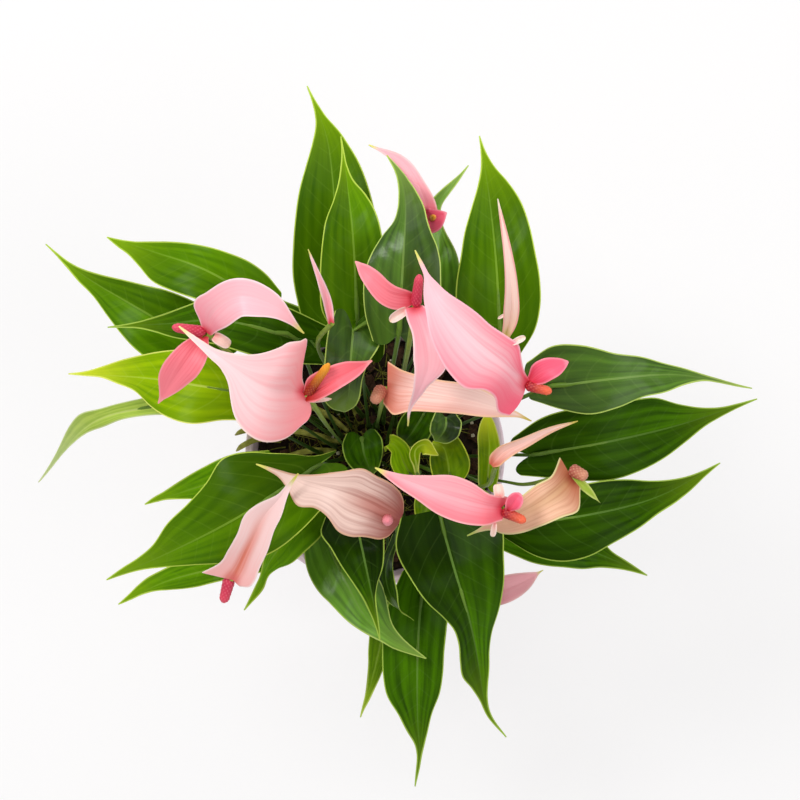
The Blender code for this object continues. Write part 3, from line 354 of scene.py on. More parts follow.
FLOWERS = {
    "flower_west": Flower(
        (-22, 10), (-74, 57.4, 264.5),
        Spathe([(-74, 58, 265), (-69, 67, 279), (-57, 73, 289), (-41, 68, 286), (-30, 57, 276)],
               left=[(0, 2), (0.1, 5.2), (0.18, 9.6), (0.3, 8.5), (0.5, 8), (0.6, 6.8), (0.7, 5),
                     (0.8, 2.3), (0.9, 1), (1, 0.3)],
               right=[(0, 2.7), (0.1, 5.5), (0.2, 8.2), (0.3, 9.6), (0.5, 9.2), (0.6, 8.2), (0.7, 6),
                      (0.8, 3.9), (0.9, 1.7), (1, 0.3)], lobe=(0, 0), heading=(60, -45)),
        spadix=((-75, 58, 265), (-89, 60, 270)), spadix_radius=2.7,
        bract=Spathe([(-76, 55, 264), (-84, 43, 264), (-97, 26, 248)],
                     left=[(0, 2), (0.1, 5.4), (0.2, 7.2), (0.35, 7.8), (0.5, 6.4), (0.65, 4.9), (0.8, 2.8),
                           (0.92, 1), (1, 0.3)],
                     right=[(0, 2), (0.1, 4.6), (0.2, 6.6), (0.35, 8), (0.5, 8.2), (0.65, 6.8), (0.8, 3.6),
                            (0.92, 1.2), (1, 0.3)], look="rose"),
        ears=(((-70.5, 56, 265.4), (-63.5, 52, 264), 3.4),)),
    "flower_big_west": Flower(
        (-15, 5), (-29, 30, 270),
        Spathe([(-31, 31, 271), (-48, 33, 287), (-66, 46, 290), (-85, 60, 281)],
               left=[(0, 13), (0.1, 20), (0.2, 22.5), (0.33, 21.5), (0.4, 17), (0.45, 12.3), (0.5, 8),
                     (0.6, 4), (0.7, 3), (0.8, 2), (0.9, 1.2), (1, 0.3)],
               right=[(0, 3), (0.05, 7), (0.1, 15), (0.15, 26.5), (0.2, 25.5), (0.3, 23), (0.4, 18),
                      (0.5, 10.5), (0.6, 5), (0.7, 2), (0.8, 1.2), (0.9, 0.8), (1, 0.3)], lobe=(0.1, 0),
               look="pale"), spadix=((-28.5, 30.3, 271), (-18.5, 43.5, 289)), spadix_radius=2.3,
        spadix_look="sunset",
        bract=Spathe([(-28, 30, 271), (-15, 37, 281), (0, 45, 274)],
                     left=[(0, 2), (0.1, 5), (0.2, 7), (0.35, 7.6), (0.5, 7), (0.65, 5.5), (0.8, 3),
                           (0.92, 1.2), (1, 0.4)],
                     right=[(0, 3), (0.1, 4.5), (0.25, 5), (0.5, 4.8), (0.65, 4.2), (0.8, 3), (0.92, 1.3),
                            (1, 0.4)], fold=(25, 25), look="flame"),
        ears=(((-28, 27, 268), (-18, 28, 268), 1.2),)),
    "flower_north": Flower(
        (6, 6), (19, 69, 290),
        Spathe([(19, 68, 291), (23, 56, 299), (25, 44, 300), (22, 34, 295), (17, 24, 282), (16, 16, 272)],
               left=[(0, 3.5), (0.1, 7), (0.2, 8.5), (0.4, 8.3), (0.5, 4.6), (0.56, 3), (0.65, 2.2),
                     (0.8, 0.9), (1, 0.3)],
               right=[(0, 5), (0.1, 5.6), (0.2, 5.3), (0.4, 6.7), (0.5, 5), (0.56, 3.9), (0.65, 2.5),
                      (0.8, 1), (1, 0.3)], lobe=(0, 0), look="pink"), via=((15, 44, 250),),
        spadix=((19.4, 69, 291), (21, 82, 300)), spadix_radius=2.5,
        bract=Spathe([(18, 72.5, 291), (8, 74, 297), (0, 80.5, 299), (-7, 88, 294)],
                     left=[(0, 2.5), (0.1, 5), (0.25, 6.2), (0.4, 6), (0.55, 5), (0.7, 3.8), (0.85, 2.2),
                           (0.95, 0.9), (1, 0.3)],
                     right=[(0, 1.5), (0.15, 3), (0.35, 4), (0.5, 4.2), (0.65, 4.2), (0.8, 3.2),
                            (0.92, 1.5), (1, 0.3)], look="rose"),
        ears=(((15.5, 67, 292.4), (8, 62, 291), 2.8),)),
    "flower_big_east": Flower(
        (26, 6), (67, 35, 304),
        Spathe([(67, 35, 305), (57, 43, 317), (42, 55, 325), (29, 69, 325), (23, 83, 317), (19, 92, 309)],
               left=[(0, 16), (0.06, 17.5), (0.14, 13.7), (0.22, 14), (0.31, 18.5), (0.4, 18), (0.48, 15.8),
                     (0.57, 11.9), (0.65, 7.2), (0.75, 3.4), (0.82, 1.3), (0.9, 0.9), (1, 0.3)],
               right=[(0, 2), (0.06, 3), (0.12, 5), (0.17, 7.6), (0.22, 10.6), (0.28, 10.4), (0.4, 9.4),
                      (0.48, 9.3), (0.57, 8.1), (0.65, 6.1), (0.75, 3.4), (0.82, 1.3), (0.9, 0.8), (1, 0.3)],
               lobe=(0.05, 0), look="blush"), via=((46, 24, 200), (60, 36, 262)),
        spadix=((67.6, 33.8, 304.6), (78, 31, 308)), spadix_radius=2.5, spadix_look="coral",
        bract=Spathe([(68.4, 35.6, 305.4), (76, 40.6, 310), (85, 44, 310)],
                     left=[(0, 1.2), (0.12, 2.6), (0.3, 5), (0.5, 5.3), (0.75, 3.6), (0.9, 2), (1, 0.4)],
                     right=[(0, 2), (0.12, 3), (0.3, 4.5), (0.5, 4.8), (0.75, 4), (0.9, 2.2), (1, 0.4)],
                     look="crimson"), ears=(((60, 51.5, 320.5), (66, 54.5, 318.5), 1.8),)),
    "flower_salmon": Flower(
        (1, 14), (6, 32.5, 253),
        Spathe([(7, 33, 253), (20, 31.5, 262), (41, 28, 265), (61, 22.5, 256), (72, 18, 248)],
               left=[(0, 12), (0.1, 9), (0.2, 7.5), (0.35, 6.6), (0.5, 7), (0.65, 5.7), (0.8, 1.8),
                     (0.9, 1), (1, 0.3)],
               right=[(0, 7.5), (0.05, 10), (0.1, 12.3), (0.2, 9.8), (0.35, 8.4), (0.5, 7.2), (0.65, 5.8),
                      (0.8, 3), (0.9, 1), (1, 0.3)], fold=(14, 14), lobe=(0, 0), look="salmon"),
        spadix=((4, 32, 253), (1, 27, 264)), spadix_radius=3.3, spadix_look="tan"),
    "flower_east": Flower(
        (20, -8), (58, -21, 276),
        Spathe([(57, -20, 277), (48, -18.5, 285), (32, -14, 289), (15, -7.5, 284), (1.5, -2.5, 275)],
               left=[(0, 5.8), (0.17, 9), (0.3, 10), (0.45, 9.2), (0.6, 6.6), (0.74, 4.8), (0.87, 2.6),
                     (1, 0.3)],
               right=[(0, 5.3), (0.17, 5.7), (0.3, 8.7), (0.45, 9.2), (0.6, 5.5), (0.74, 2.2), (0.87, 0.9),
                      (1, 0.3)], lobe=(0.03, 0.03), look="flushed"),
        via=((34, -16, 165), (43, -16, 204), (50, -14, 235)), spadix=((58.5, -22, 277), (68, -26, 282)),
        spadix_radius=2.6, spadix_look="coral",
        bract=Spathe([(59.8, -21.4, 278), (61.5, -19.2, 281), (63.5, -16.3, 283.2), (65.5, -13.6, 283)],
                     left=[(0, 1.2), (0.2, 1.8), (0.45, 3.5), (0.65, 4), (0.85, 3), (1, 0.8)],
                     fold=(25, 25), look="crimson"),
        ears=(((56.5, -15.5, 279), (55.6, -9.8, 278.4), 3), ((54.3, -26.8, 278.3), (53.5, -33, 275), 1.7))),
    "flower_olive": Flower(
        (31, -8), (88.5, -5.5, 258.8),
        Spathe([(89.5, -7.5, 259), (77, -17, 268), (64, -24.5, 262), (53, -29, 255), (43, -34, 247)],
               left=[(0, 6.2), (0.15, 13), (0.29, 10.5), (0.42, 9.2), (0.56, 8.2), (0.7, 5.5), (0.78, 2.4),
                     (0.88, 0.9), (1, 0.3)],
               right=[(0, 11), (0.15, 7), (0.29, 8), (0.42, 7), (0.56, 5.7), (0.7, 3.5), (0.78, 2),
                      (0.88, 0.8), (1, 0.3)], lobe=(0, 0), look="olive"),
        via=((60.5, -11, 186), (72, -11.5, 218)), spadix=((90, -4, 258), (96, -7, 264)), spadix_radius=3.2,
        spadix_look="tan",
        bract=Spathe([(89, -5.5, 258.4), (96, -12, 257), (103, -19, 250)], scaled(2, BRACT), look="sepal")),
    "flower_southwest": Flower(
        (-8, -10), (-64.6, -54.4, 231),
        Spathe([(-64, -55, 231), (-60.5, -48, 238), (-54.5, -36, 250), (-48, -24, 260), (-41, -16, 268),
                (-32.5, -5, 277)],
               left=[(0, 15), (0.12, 9.3), (0.25, 8.2), (0.4, 7.6), (0.55, 8.4), (0.7, 4.8), (0.8, 1.8),
                     (0.88, 1.2), (1, 0.3)],
               right=[(0, 4.5), (0.06, 9), (0.12, 10.2), (0.25, 9.7), (0.4, 9.5), (0.55, 8), (0.7, 6.4),
                      (0.8, 3.2), (0.88, 1.4), (1, 0.3)], fold=(22, 22), lobe=(0, 0), look="streaked"),
        via=((-15, -16, 132), (-44, -40, 174), (-66, -57, 200)), spadix=((-66, -55, 229), (-69, -66, 226)),
        spadix_radius=3.0),
    "flower_south": Flower(
        (2, -9), (7, -25, 264.8),
        Spathe([(12.6, -25.6, 262), (5, -22, 267), (-2.5, -18, 270), (-15.5, -13, 271), (-28, -9.5, 266),
                (-41, -5, 258), (-52.5, -1.5, 250)],
               left=[(0, 3), (0.03, 8.5), (0.07, 11.5), (0.15, 13.8), (0.25, 16.8), (0.34, 16.8),
                     (0.43, 12.3), (0.53, 10.2), (0.62, 11.5), (0.72, 6.2), (0.81, 2.6), (0.91, 1.1),
                     (1, 0.3)],
               right=[(0, 3), (0.03, 7), (0.07, 10), (0.15, 12.4), (0.25, 12.8), (0.34, 13.5), (0.43, 9.3),
                      (0.53, 5.8), (0.62, 3.5), (0.72, 1.4), (0.81, 0.8), (0.91, 0.6), (1, 0.3)],
               lobe=(0, 0), look="beige"), spadix=((7, -26, 264), (7, -26, 284)), spadix_radius=2.6,
        spadix_look="pink"),
    "flower_top": Flower(
        (10, 14), (27, 111, 226),
        Spathe([(26, 113, 227), (21, 126, 232), (13, 138, 228), (-2, 146, 216)],
               left=[(0, 2.8), (0.1, 4.3), (0.3, 4.6), (0.5, 4.1), (0.7, 2.7), (0.85, 1.1), (1, 0.3)],
               right=[(0, 3.6), (0.1, 4.5), (0.3, 3.3), (0.5, 2.5), (0.7, 1.4), (0.85, 0.8), (1, 0.3)],
               look="warm"), via=((11, 24, 152), (17, 60, 203)), spadix=((27, 111, 227), (28, 111, 240)),
        spadix_radius=1.6, spadix_look="sunset",
        bract=Spathe([(22.5, 112, 226), (27.5, 110.5, 229), (34, 113.5, 231)],
                     left=[(0, 3.5), (0.25, 5.5), (0.6, 5), (0.85, 2.4), (1, 0.3)],
                     right=[(0, 3.5), (0.25, 6.5), (0.6, 6), (0.85, 2.8), (1, 0.3)], fold=(20, 20),
                     look="crimson")),
    "flower_hidden": Flower(
        (19, -17), (46.6, -65, 176.4),
        Spathe([(48, -65, 177), (60, -63, 186), (71, -59, 184), (81, -54, 176)], scaled(7, SLIM),
               look="warm")),
    "bud_east": Flower(
        (26, -10), (56, -2.6, 247),
        Spathe([(54, -2, 247), (60, 4, 250), (69, 8.5, 254), (80, 14, 258), (92.5, 18, 256)],
               left=[(0, 1.5), (0.06, 3.8), (0.15, 4.4), (0.35, 3.5), (0.6, 2.4), (0.8, 1.3), (1, 0.2)],
               fold=(20, 20), cup=(35, 35), lobe=(0, 0), look="salmon"), via=((51, -13, 205),)),
    "bud_north": Flower(
        (24, 16), (61, 57, 250),
        Spathe([(60.5, 58, 252), (62, 66, 258), (62, 79, 268), (60, 94, 276), (55.5, 116, 284)],
               left=[(0, 2), (0.08, 3.6), (0.2, 4.8), (0.39, 4), (0.64, 2.6), (0.85, 1.3), (1, 0.2)],
               fold=(25, 25), cup=(35, 35), lobe=(0.05, 0.05), look="cream"),
        ears=(((60.7, 66.5, 258.6), (56.5, 64, 257), 0.9),)),
    "bud_northwest": Flower(
        (-6, 19), (-18, 62, 262),
        Spathe([(-18.5, 63, 263), (-20, 72, 268), (-22.5, 79.5, 273), (-28, 94, 281)],
               left=[(0, 1.8), (0.2, 2.6), (0.45, 2.4), (0.7, 1.4), (1, 0.2)], fold=(25, 25), cup=(35, 35),
               lobe=(0.03, 0.03)), via=((-15, 32, 175), (-25, 52, 238))),
}


# ---------------------------------------------------------------------------------------------
# Settings that a user would change.


class PotSettings(bpy.types.PropertyGroup):
    """Sizes and colour of the pot"""

    height: FloatProperty(name="Height", description="Height of the pot", default=0.118, unit="LENGTH")
    rim_radius: FloatProperty(name="Rim radius", description="Outer radius of the rim", default=0.065,
                              unit="LENGTH")
    foot_radius: FloatProperty(name="Foot radius", description="Outer radius above the foot", default=0.045,
                               unit="LENGTH")
    wall: FloatProperty(name="Wall", description="Thickness of the wall", default=0.004, unit="LENGTH")
    glaze: FloatVectorProperty(name="Glaze", description="Colour of the glaze", subtype="COLOR",
                               default=to_linear("#f5dbe5"))


class SoilSettings(bpy.types.PropertyGroup):
    """Sizes and colours of the potting mix"""

    chips: IntProperty(name="Bark pieces", description="How many pieces of bark lie on top", default=150)
    strands: IntProperty(name="Moss strands", description="How many strands of moss", default=420)
    bark: FloatVectorProperty(name="Bark", description="Colour of the bark where it is palest",
                              subtype="COLOR", default=to_linear("#4c3222"))
    moss: FloatVectorProperty(name="Moss", description="Colour of the moss where it is palest",
                              subtype="COLOR", default=to_linear("#8c8838"))


class LeafSettings(bpy.types.PropertyGroup):
    """Sizes of the leaves"""

    thickness: FloatProperty(name="Thickness", description="Thickness of a blade", default=0.0005,
                             unit="LENGTH")
    stalk_radius: FloatProperty(name="Stalk radius", description="Radius of a grown leaf's stalk",
                                default=0.0011, unit="LENGTH")
    quilting: FloatProperty(name="Quilting", description="Depth of the veins in the blade", default=0.0002,
                            unit="LENGTH")
    vein_spacing: FloatProperty(name="Vein spacing", description="Distance between side veins",
                                default=0.010, unit="LENGTH")


class FlowerSettings(bpy.types.PropertyGroup):
    """Sizes of the flowers"""

    thickness: FloatProperty(name="Thickness", description="Thickness of a spathe", default=0.0006,
                             unit="LENGTH")
    stalk_radius: FloatProperty(name="Stalk radius", description="Radius of a flower's stalk",
                                default=0.00115, unit="LENGTH")


class StageSettings(bpy.types.PropertyGroup):
    """Camera and light"""

    camera_height: FloatProperty(name="Camera height", description="Height of the camera above the floor",
                                 default=1.5, unit="LENGTH")
    lens: FloatProperty(name="Lens", description="Focal length of the camera", default=124.4,
                        unit="CAMERA")
    floor: FloatVectorProperty(name="Floor", description="Colour of the floor", subtype="COLOR",
                               default=to_linear("#fbfafa"))


# ---------------------------------------------------------------------------------------------
# Shapes.

# Columns across a blade and rows along it.
GROWN_LEAF_GRID = (26, 60)
SMALL_LEAF_GRID = (20, 36)
SPATHE_GRID = (28, 60)
BRACT_GRID = (16, 32)
EAR_GRID = (12, 20)
# Leaves up to these half widths, in millimetres, get the small grid, or a stalk of this share.
GRID_LIMIT = 12
STALK_LIMIT = 9
THIN_STALK = 0.7

# A blade has its full wall from this far inside its edge, in millimetres, and this share of it at
# the edge.
FULL_WALL_MM = 1.2
EDGE_SHARE = 0.3
# Side veins lean toward the tip by this much for each millimetre out, and by this much more for
# each millimetre squared.
VEIN_LEAN = 0.9
VEIN_SWEEP = 0.012
# The right half waves behind the left by this angle, in radians.
WAVE_LAG = 1.9
# Width of a leaf at its base, as a share of its widest.
SHOULDER = 0.72
# Sharpest turn between faces that still looks smooth.
BLADE_CREASE = math.radians(50)
STALK_CREASE = math.radians(60)
# Sides round a stalk, and rings along it.
STALK_SIDES = 12
STALK_STEPS = 30


def deselect_all():
    """Clear the selection, which an operator would act on."""
    for item in bpy.context.selected_objects:
        item.select_set(False)


def add_primitive(name, add, **sizes):
    """A new primitive under its name, and alone in the selection."""
    deselect_all()
    add(**sizes)
    piece = bpy.context.active_object
    piece.name = name
    return piece


def face_outward(merge=False):
    """Turn the active piece's faces outward, after its doubles are merged if asked."""
    bpy.ops.object.mode_set(mode="EDIT")
    bpy.ops.mesh.select_all(action="SELECT")
    if merge:
        bpy.ops.mesh.remove_doubles(threshold=MM / 1000)
    bpy.ops.mesh.normals_make_consistent(inside=False)
    bpy.ops.object.mode_set(mode="OBJECT")


def read_places(mesh):
    """The mesh's points as one flat array."""
    flat = np.empty(len(mesh.vertices) * 3)
    mesh.vertices.foreach_get("co", flat)
    return flat


def keep_marks(mesh, **marks):
    """Keep a value for each point under its name, for the finish to read."""
    for name, values in marks.items():
        values = np.asarray(values, np.float32)
        mesh.attributes.new(name, "FLOAT", "POINT").data.foreach_set("value", values)


def smooth_line(points, count=241, substeps=40):
    """Places evenly spaced along the smooth curve through the points, as an array."""
    knots = np.array(points, float)
    ends = np.vstack([2 * knots[0] - knots[1], knots, 2 * knots[-1] - knots[-2]])
    share = np.linspace(0, 1, substeps, endpoint=False)[:, None]
    runs = []
    for before, start, end, after in zip(ends, ends[1:], ends[2:], ends[3:]):
        runs.append(0.5 * (2 * start + (end - before) * share
                           + (2 * before - 5 * start + 4 * end - after) * share ** 2
                           + (3 * start - before - 3 * end + after) * share ** 3))
    dense = np.vstack(runs + [knots[-1:]])
    travelled = np.concatenate([[0], np.cumsum(np.linalg.norm(np.diff(dense, axis=0), axis=1))])
    wanted = np.linspace(0, travelled[-1], count)
    return np.stack([np.interp(wanted, travelled, dense[:, axis]) for axis in range(3)], axis=1)


def through(knots, at):
    """Values at places along a smooth curve through (place, value) knots."""
    places, values = np.array(knots, float).T
    slopes = np.gradient(values, places)
    slopes[0] = (values[1] - values[0]) / (places[1] - places[0])
    slopes[-1] = (values[-1] - values[-2]) / (places[-1] - places[-2])
    index = np.clip(np.searchsorted(places, at, side="right") - 1, 0, len(places) - 2)
    width = places[index + 1] - places[index]
    u = (at - places[index]) / width
    return ((2 * u ** 3 - 3 * u ** 2 + 1) * values[index] + (u ** 3 - 2 * u ** 2 + u) * width * slopes[index]
            + (3 * u ** 2 - 2 * u ** 3) * values[index + 1] + (u ** 3 - u ** 2) * width * slopes[index + 1])


def leaf_half_width(leaf, along, knots):
    """Half width of a leaf through its side's own knots.

    Without knots it swells from the shoulder to its widest place, then falls to a drip tip.
    """
    if knots:
        return through(knots, along)
    swell = SHOULDER + (1 - SHOULDER) * np.sin(np.pi / 2 * np.minimum(along / leaf.widest, 1))
    fall = np.cos(np.pi / 2 * np.clip((along - leaf.widest) / (1 - leaf.widest), 0, 1))
    return leaf.half_width * np.where(along < leaf.widest, swell, 0.02 + 0.98 * fall ** leaf.taper)


def unit(vectors):
    """The vectors at length one."""
    return vectors / np.linalg.norm(vectors, axis=-1, keepdims=True)


def blade_shape(form, along, across, left, right, quilting=0.0, spacing=10.0):
    """Places of a blade's surface, in millimetres, with their distances to midrib and edge.

    along runs from 0 at the base to 1 at the tip, and across from 1 at the left edge to -1 at the
    right edge. left and right are the half widths at each place. Each half leaves the midrib at its
    fold and turns by its cup on the way to the edge, and the lobes at the base reach back past the
    stalk.
    """
    line = smooth_line(form.midrib)
    length = np.linalg.norm(np.diff(line, axis=0), axis=1).sum()
    tangents = unit(np.gradient(line, axis=0))
    steps = np.linspace(0, 1, len(line))
    centre = np.stack([np.interp(along, steps, line[:, axis]) for axis in range(3)], axis=1)
    tangent = unit(np.stack([np.interp(along, steps, tangents[:, axis]) for axis in range(3)], axis=1))
    start, end = form.heading
    azimuth = np.arctan2(*(line[-1] - line[0])[1::-1]) + np.radians(start + (end - start) * along)
    level = np.stack([-np.sin(azimuth), np.cos(azimuth), np.zeros_like(along)], axis=1)
    sideways = unit(level - tangent * (tangent * level).sum(axis=1)[:, None])
    up = np.cross(tangent, sideways)
    turn = np.radians(form.roll)
    side = sideways * np.cos(turn) + up * np.sin(turn)
    normal = np.cross(tangent, side)
    reach = np.abs(across)
    on_left = across > 0
    half = np.where(on_left, left, right)
    fold = np.radians(np.where(on_left, *form.fold))
    cup = np.radians(np.where(on_left, *form.cup))
    cup = np.where(np.abs(cup) < 0.001, 0.001, cup)
    out = half * (np.sin(fold + cup * reach) - np.sin(fold)) / cup
    rise = half * (np.cos(fold) - np.cos(fold + cup * reach)) / cup
    ripple = np.sin(2 * np.pi * form.waves * along + np.where(on_left, 0.0, WAVE_LAG))
    rise = rise + form.wave * ripple * reach ** 3 * np.sin(np.pi * np.clip(along * 1.1, 0, 1))
    rib = reach * half
    vein = (along * length - VEIN_LEAN * rib - VEIN_SWEEP * rib ** 2) / spacing
    rise = rise - quilting * np.cos(2 * np.pi * vein) * np.sin(np.pi * reach) * np.sin(np.pi * along)
    lobe = np.where(on_left, *form.lobe)
    back = lobe * length * (1 - along) ** 4 * np.sin(np.pi * 0.72 * reach ** 0.9)
    sign = np.where(on_left, 1, -1)
    places = centre + side * (out * sign)[:, None] + normal * rise[:, None] - tangent * back[:, None]
    return places, rib, half - rib, vein


def bend_blade(piece, form, left, right, **pattern):
    """Bend a flat grid into a blade, and keep its distances as attributes for the finish.

    The grid's X runs across the blade and its Y along the midrib. left and right give half widths.
    """
    mesh = piece.data
    flat = read_places(mesh)
    across = -flat[0::3]
    along = (flat[1::3] + 1) / 2
    places, rib, edge, vein = blade_shape(form, along, across, left(along), right(along), **pattern)
    mesh.vertices.foreach_set("co", (places * MM).ravel())
    keep_marks(mesh, along=along, across=across, edge_mm=edge, rib_mm=rib, vein=vein)
    if isinstance(form, Leaf):
        on_left = across > 0
        # Painted light and shade: each half gets its own brightness, and another toward the tip, partly the
        # leaf's tone and partly how brightly the half is lit.
        change = np.where(on_left, *form.outer) - 1
        toward_tip = np.clip((along - 0.15) / 0.4, 0, 1)
        keep_marks(mesh, shade=np.where(on_left, *form.shade) * (1 + change * toward_tip))
    mesh.update()


def add_blade(name, form, left, right, grid, thickness, **pattern):
    """A blade from a flat grid, with its thickness."""
    columns, rows = grid
    piece = add_primitive(name, bpy.ops.mesh.primitive_grid_add, x_subdivisions=columns,
                          y_subdivisions=rows, size=2)
    bend_blade(piece, form, left, right, **pattern)
    wall = piece.modifiers.new("Thickness", "SOLIDIFY")
    wall.thickness = thickness
    wall.offset = 0
    thinned = piece.vertex_groups.new(name="wall")
    for number, place in enumerate(piece.data.attributes["edge_mm"].data):
        thinned.add([number], min(place.value / FULL_WALL_MM, 1.0), "REPLACE")
    wall.vertex_group = thinned.name
    wall.thickness_vertex_group = EDGE_SHARE
    bpy.ops.object.modifier_apply(modifier=wall.name)
    piece.vertex_groups.clear()
    bpy.ops.object.shade_smooth_by_angle(angle=BLADE_CREASE)
    return piece


def add_tube(name, path, radii, sides=STALK_SIDES, steps=STALK_STEPS):
    """A round stalk through the path's points, whose radius follows (place, radius) knots."""
    piece = add_primitive(name, bpy.ops.curve.primitive_nurbs_path_add)
    curve = piece.data
    curve.splines.clear()
    places = smooth_line(path, steps)
    spline = curve.splines.new("POLY")
    spline.points.add(steps - 1)
    widths = through(radii, np.linspace(0, 1, steps))
    for point, place, width in zip(spline.points, places, widths):
        point.co = (*(place * MM), 1)
        point.radius = width
    curve.bevel_depth = MM
    curve.bevel_resolution = max(sides // 2 - 2, 0)
    curve.use_fill_caps = True
    bpy.ops.object.convert(target="MESH")
    piece = bpy.context.active_object
    face_outward(merge=True)
    bpy.ops.object.shade_smooth_by_angle(angle=STALK_CREASE)
    # How far along its path each part of the stalk lies.
    away = np.linalg.norm(read_places(piece.data).reshape(-1, 1, 3) - places[None] * MM, axis=2)
    keep_marks(piece.data, along=away.argmin(axis=1) / (steps - 1))
    return piece


def stalk_path(root, via, top):
    """Points of a stalk: steep out of the soil, then leaning over to its top."""
    start = np.array([*root, SOIL_TOP])
    end = np.array(top, float)
    if via:
        return [start, *[np.array(point, float) for point in via], end]
    climb = end - start
    return [start, start + climb * (0.12, 0.12, 0.38), start + climb * (0.48, 0.48, 0.78), end]


def frame_slot(node):
    """The record's material slot of a node."""
    return next(part["material_slot"] for part in frame["record"]["subparts"] if part["node"] == node)


def settle(piece, finish, slot, *nodes):
    """Give a piece its finish, and say which CAD nodes it stands for."""
    piece.data.materials.clear()
    piece.data.materials.append(finish)
    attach(piece, BODY)
    if nodes:
        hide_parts(*nodes)


# ---------------------------------------------------------------------------------------------
# Finishes.

# A MapRange node's inputs are a value, where its change starts and ends, and the results there,
# which are 0 and 1 where they are left out. SMOOTH eases the change in and out.
SMOOTH = {"interpolation_type": "SMOOTHSTEP"}
# A Mix node of colours takes its share at 0 and the two colours at 6 and 7, and gives 2.
COLOUR = {"data_type": "RGBA"}
PRODUCT = {"operation": "MULTIPLY"}
GREATER = {"operation": "MAXIMUM"}


def add_node(tree, kind, settings=None, inputs=(), output=0):
    """Add a node with its settings, set or link its inputs, and return one of its outputs.

    inputs are in the node's own order, or under their names or numbers.
    """
    made = tree.nodes.new("ShaderNode" + kind)
    for key, value in (settings or {}).items():
        setattr(made, key, value)
    for key, value in inputs.items() if isinstance(inputs, dict) else enumerate(inputs):
        if isinstance(value, bpy.types.NodeSocket):
            tree.links.new(value, made.inputs[key])
        else:
            made.inputs[key].default_value = value
    return made.outputs[output]


def start_finish(name, **values):
    """A new Principled material: its node tree, its shader and itself."""
    finish = bpy.data.materials.new(name)
    finish.use_nodes = True
    tree = finish.node_tree
    shader = tree.nodes["Principled BSDF"]
    for key, value in values.items():
        shader.inputs[key.replace("_", " ")].default_value = value
    return finish, tree, shader


def opaque(colour):
    """A linear colour, or an sRGB hex code, as a colour socket takes it."""
    return (*(to_linear(colour) if isinstance(colour, str) else colour), 1)


def cover(tree, skin, layers):
    """Lay colours over a skin one by one, each where its mask is high."""
    for mask, colour in layers:
        skin = add_node(tree, "Mix", COLOUR, {0: mask, 6: skin, 7: colour}, output=2)
    return skin


# Leaf tones: hollow, body, tip, vein, margin and how strongly the skin mirrors.
LEAF_TONES = {
    "green": ("#3c6402", "#547e04", "#80a60c", "#84a838", "#b8d050", 0.04),
    "dark": ("#1c3602", "#355a02", "#6c8c10", "#6c9040", "#a8c450", 0.03),
    "glossy": ("#243c08", "#3e5e14", "#7c9c38", "#7c9c48", "#b4cc60", 0.22),
    "light": ("#547c04", "#749c10", "#a0bc28", "#94b044", "#bcd05c", 0.05),
    "lime": ("#668e04", "#8cae06", "#d8e034", "#bcd058", "#dce46c", 0.03),
    "young": ("#5c8602", "#86ac08", "#a8c018", "#9cb83c", "#d4e04c", 0.05),
    "pallid": ("#84a038", "#a8bc50", "#b4c48c", "#c4d07c", "#ccd898", 0.1),
}


def leaf_finish(tone):
    """Waxy leaf skin: deep green, paler nerves, a thin lime edge, and painted light and shade."""
    *codes, gloss = LEAF_TONES[tone]
    hollow, body, tip, vein, margin = map(opaque, codes)
    finish, tree, shader = start_finish("waxy_leaf_" + tone, Roughness=0.28, Specular_IOR_Level=gloss)
    along, across, edge, rib, phase, shade = (
        add_node(tree, "Attribute", {"attribute_name": mark}, output="Fac")
        for mark in ("along", "across", "edge_mm", "rib_mm", "vein", "shade"))
    place = add_node(tree, "TexCoord", output="Object")
    # Streaks of deeper and paler green, about 4 mm wide and 40 mm long, that run with the blade.
    flat = add_node(tree, "CombineXYZ", inputs=(across, along))
    stretched = add_node(tree, "VectorMath", {"operation": "MULTIPLY_ADD"}, (flat, (3.0, 1.6, 0.0), place))
    streaks = add_node(tree, "TexNoise", inputs={"Vector": stretched, "Scale": 1.6, "Detail": 4.0})
    skin = cover(tree, hollow, [(add_node(tree, "MapRange", inputs=(streaks, 0.32, 0.66)), body)])
    # Painted light and shade: the skin is scaled by its half's brightness, partly tone, partly light.
    skin = add_node(tree, "VectorMath", {"operation": "SCALE"}, {"Vector": skin, "Scale": shade})
    # Painted shade: the blade darkens to its deep green where it dips into the plant. It pales along its
    # drip tip.
    painted_base_shade = add_node(tree, "MapRange", SMOOTH, (along, 0.35, 0.0, 0.0, 0.35))
    dripping = add_node(tree, "MapRange", SMOOTH, (along, 0.5, 1.0, 0.0, 0.8))
    # Side veins, one every 10 mm, fainter toward the edge.
    wrapped = add_node(tree, "Math", {"operation": "PINGPONG"}, (phase, 0.5))
    veined = add_node(tree, "Math", PRODUCT, (
        add_node(tree, "MapRange", SMOOTH, (wrapped, 0.07, 0.0, 0.0, 0.1)),
        add_node(tree, "MapRange", SMOOTH, (edge, 0.5, 5.0))))
    # The midrib, 1.2 mm wide at the stalk and 0.4 mm at the tip.
    width = add_node(tree, "MapRange", SMOOTH, (along, 0.0, 1.0, 0.6, 0.2))
    ribbed = add_node(tree, "Math", PRODUCT, (
        add_node(tree, "Math", {"operation": "LESS_THAN"}, (rib, width)),
        add_node(tree, "MapRange", SMOOTH, (along, 0.1, 0.85, 0.75, 0.15))))
    edged = add_node(tree, "MapRange", SMOOTH, (edge, 0.75, 0.3, 0.0, 0.95))
    skin = cover(tree, skin, [(painted_base_shade, hollow), (dripping, tip), (veined, vein), (ribbed, vein),
                              (edged, margin)])
    tree.links.new(skin, shader.inputs["Base Color"])
    # Skin cells too fine to show are drawn 0.8 mm across.
    grain = add_node(tree, "TexNoise", inputs={"Vector": place, "Scale": 1200.0, "Detail": 2.0})
    bump = add_node(tree, "Bump", inputs={"Strength": 0.12, "Distance": 0.0003, "Height": grain})
    tree.links.new(bump, shader.inputs["Normal"])
    return finish


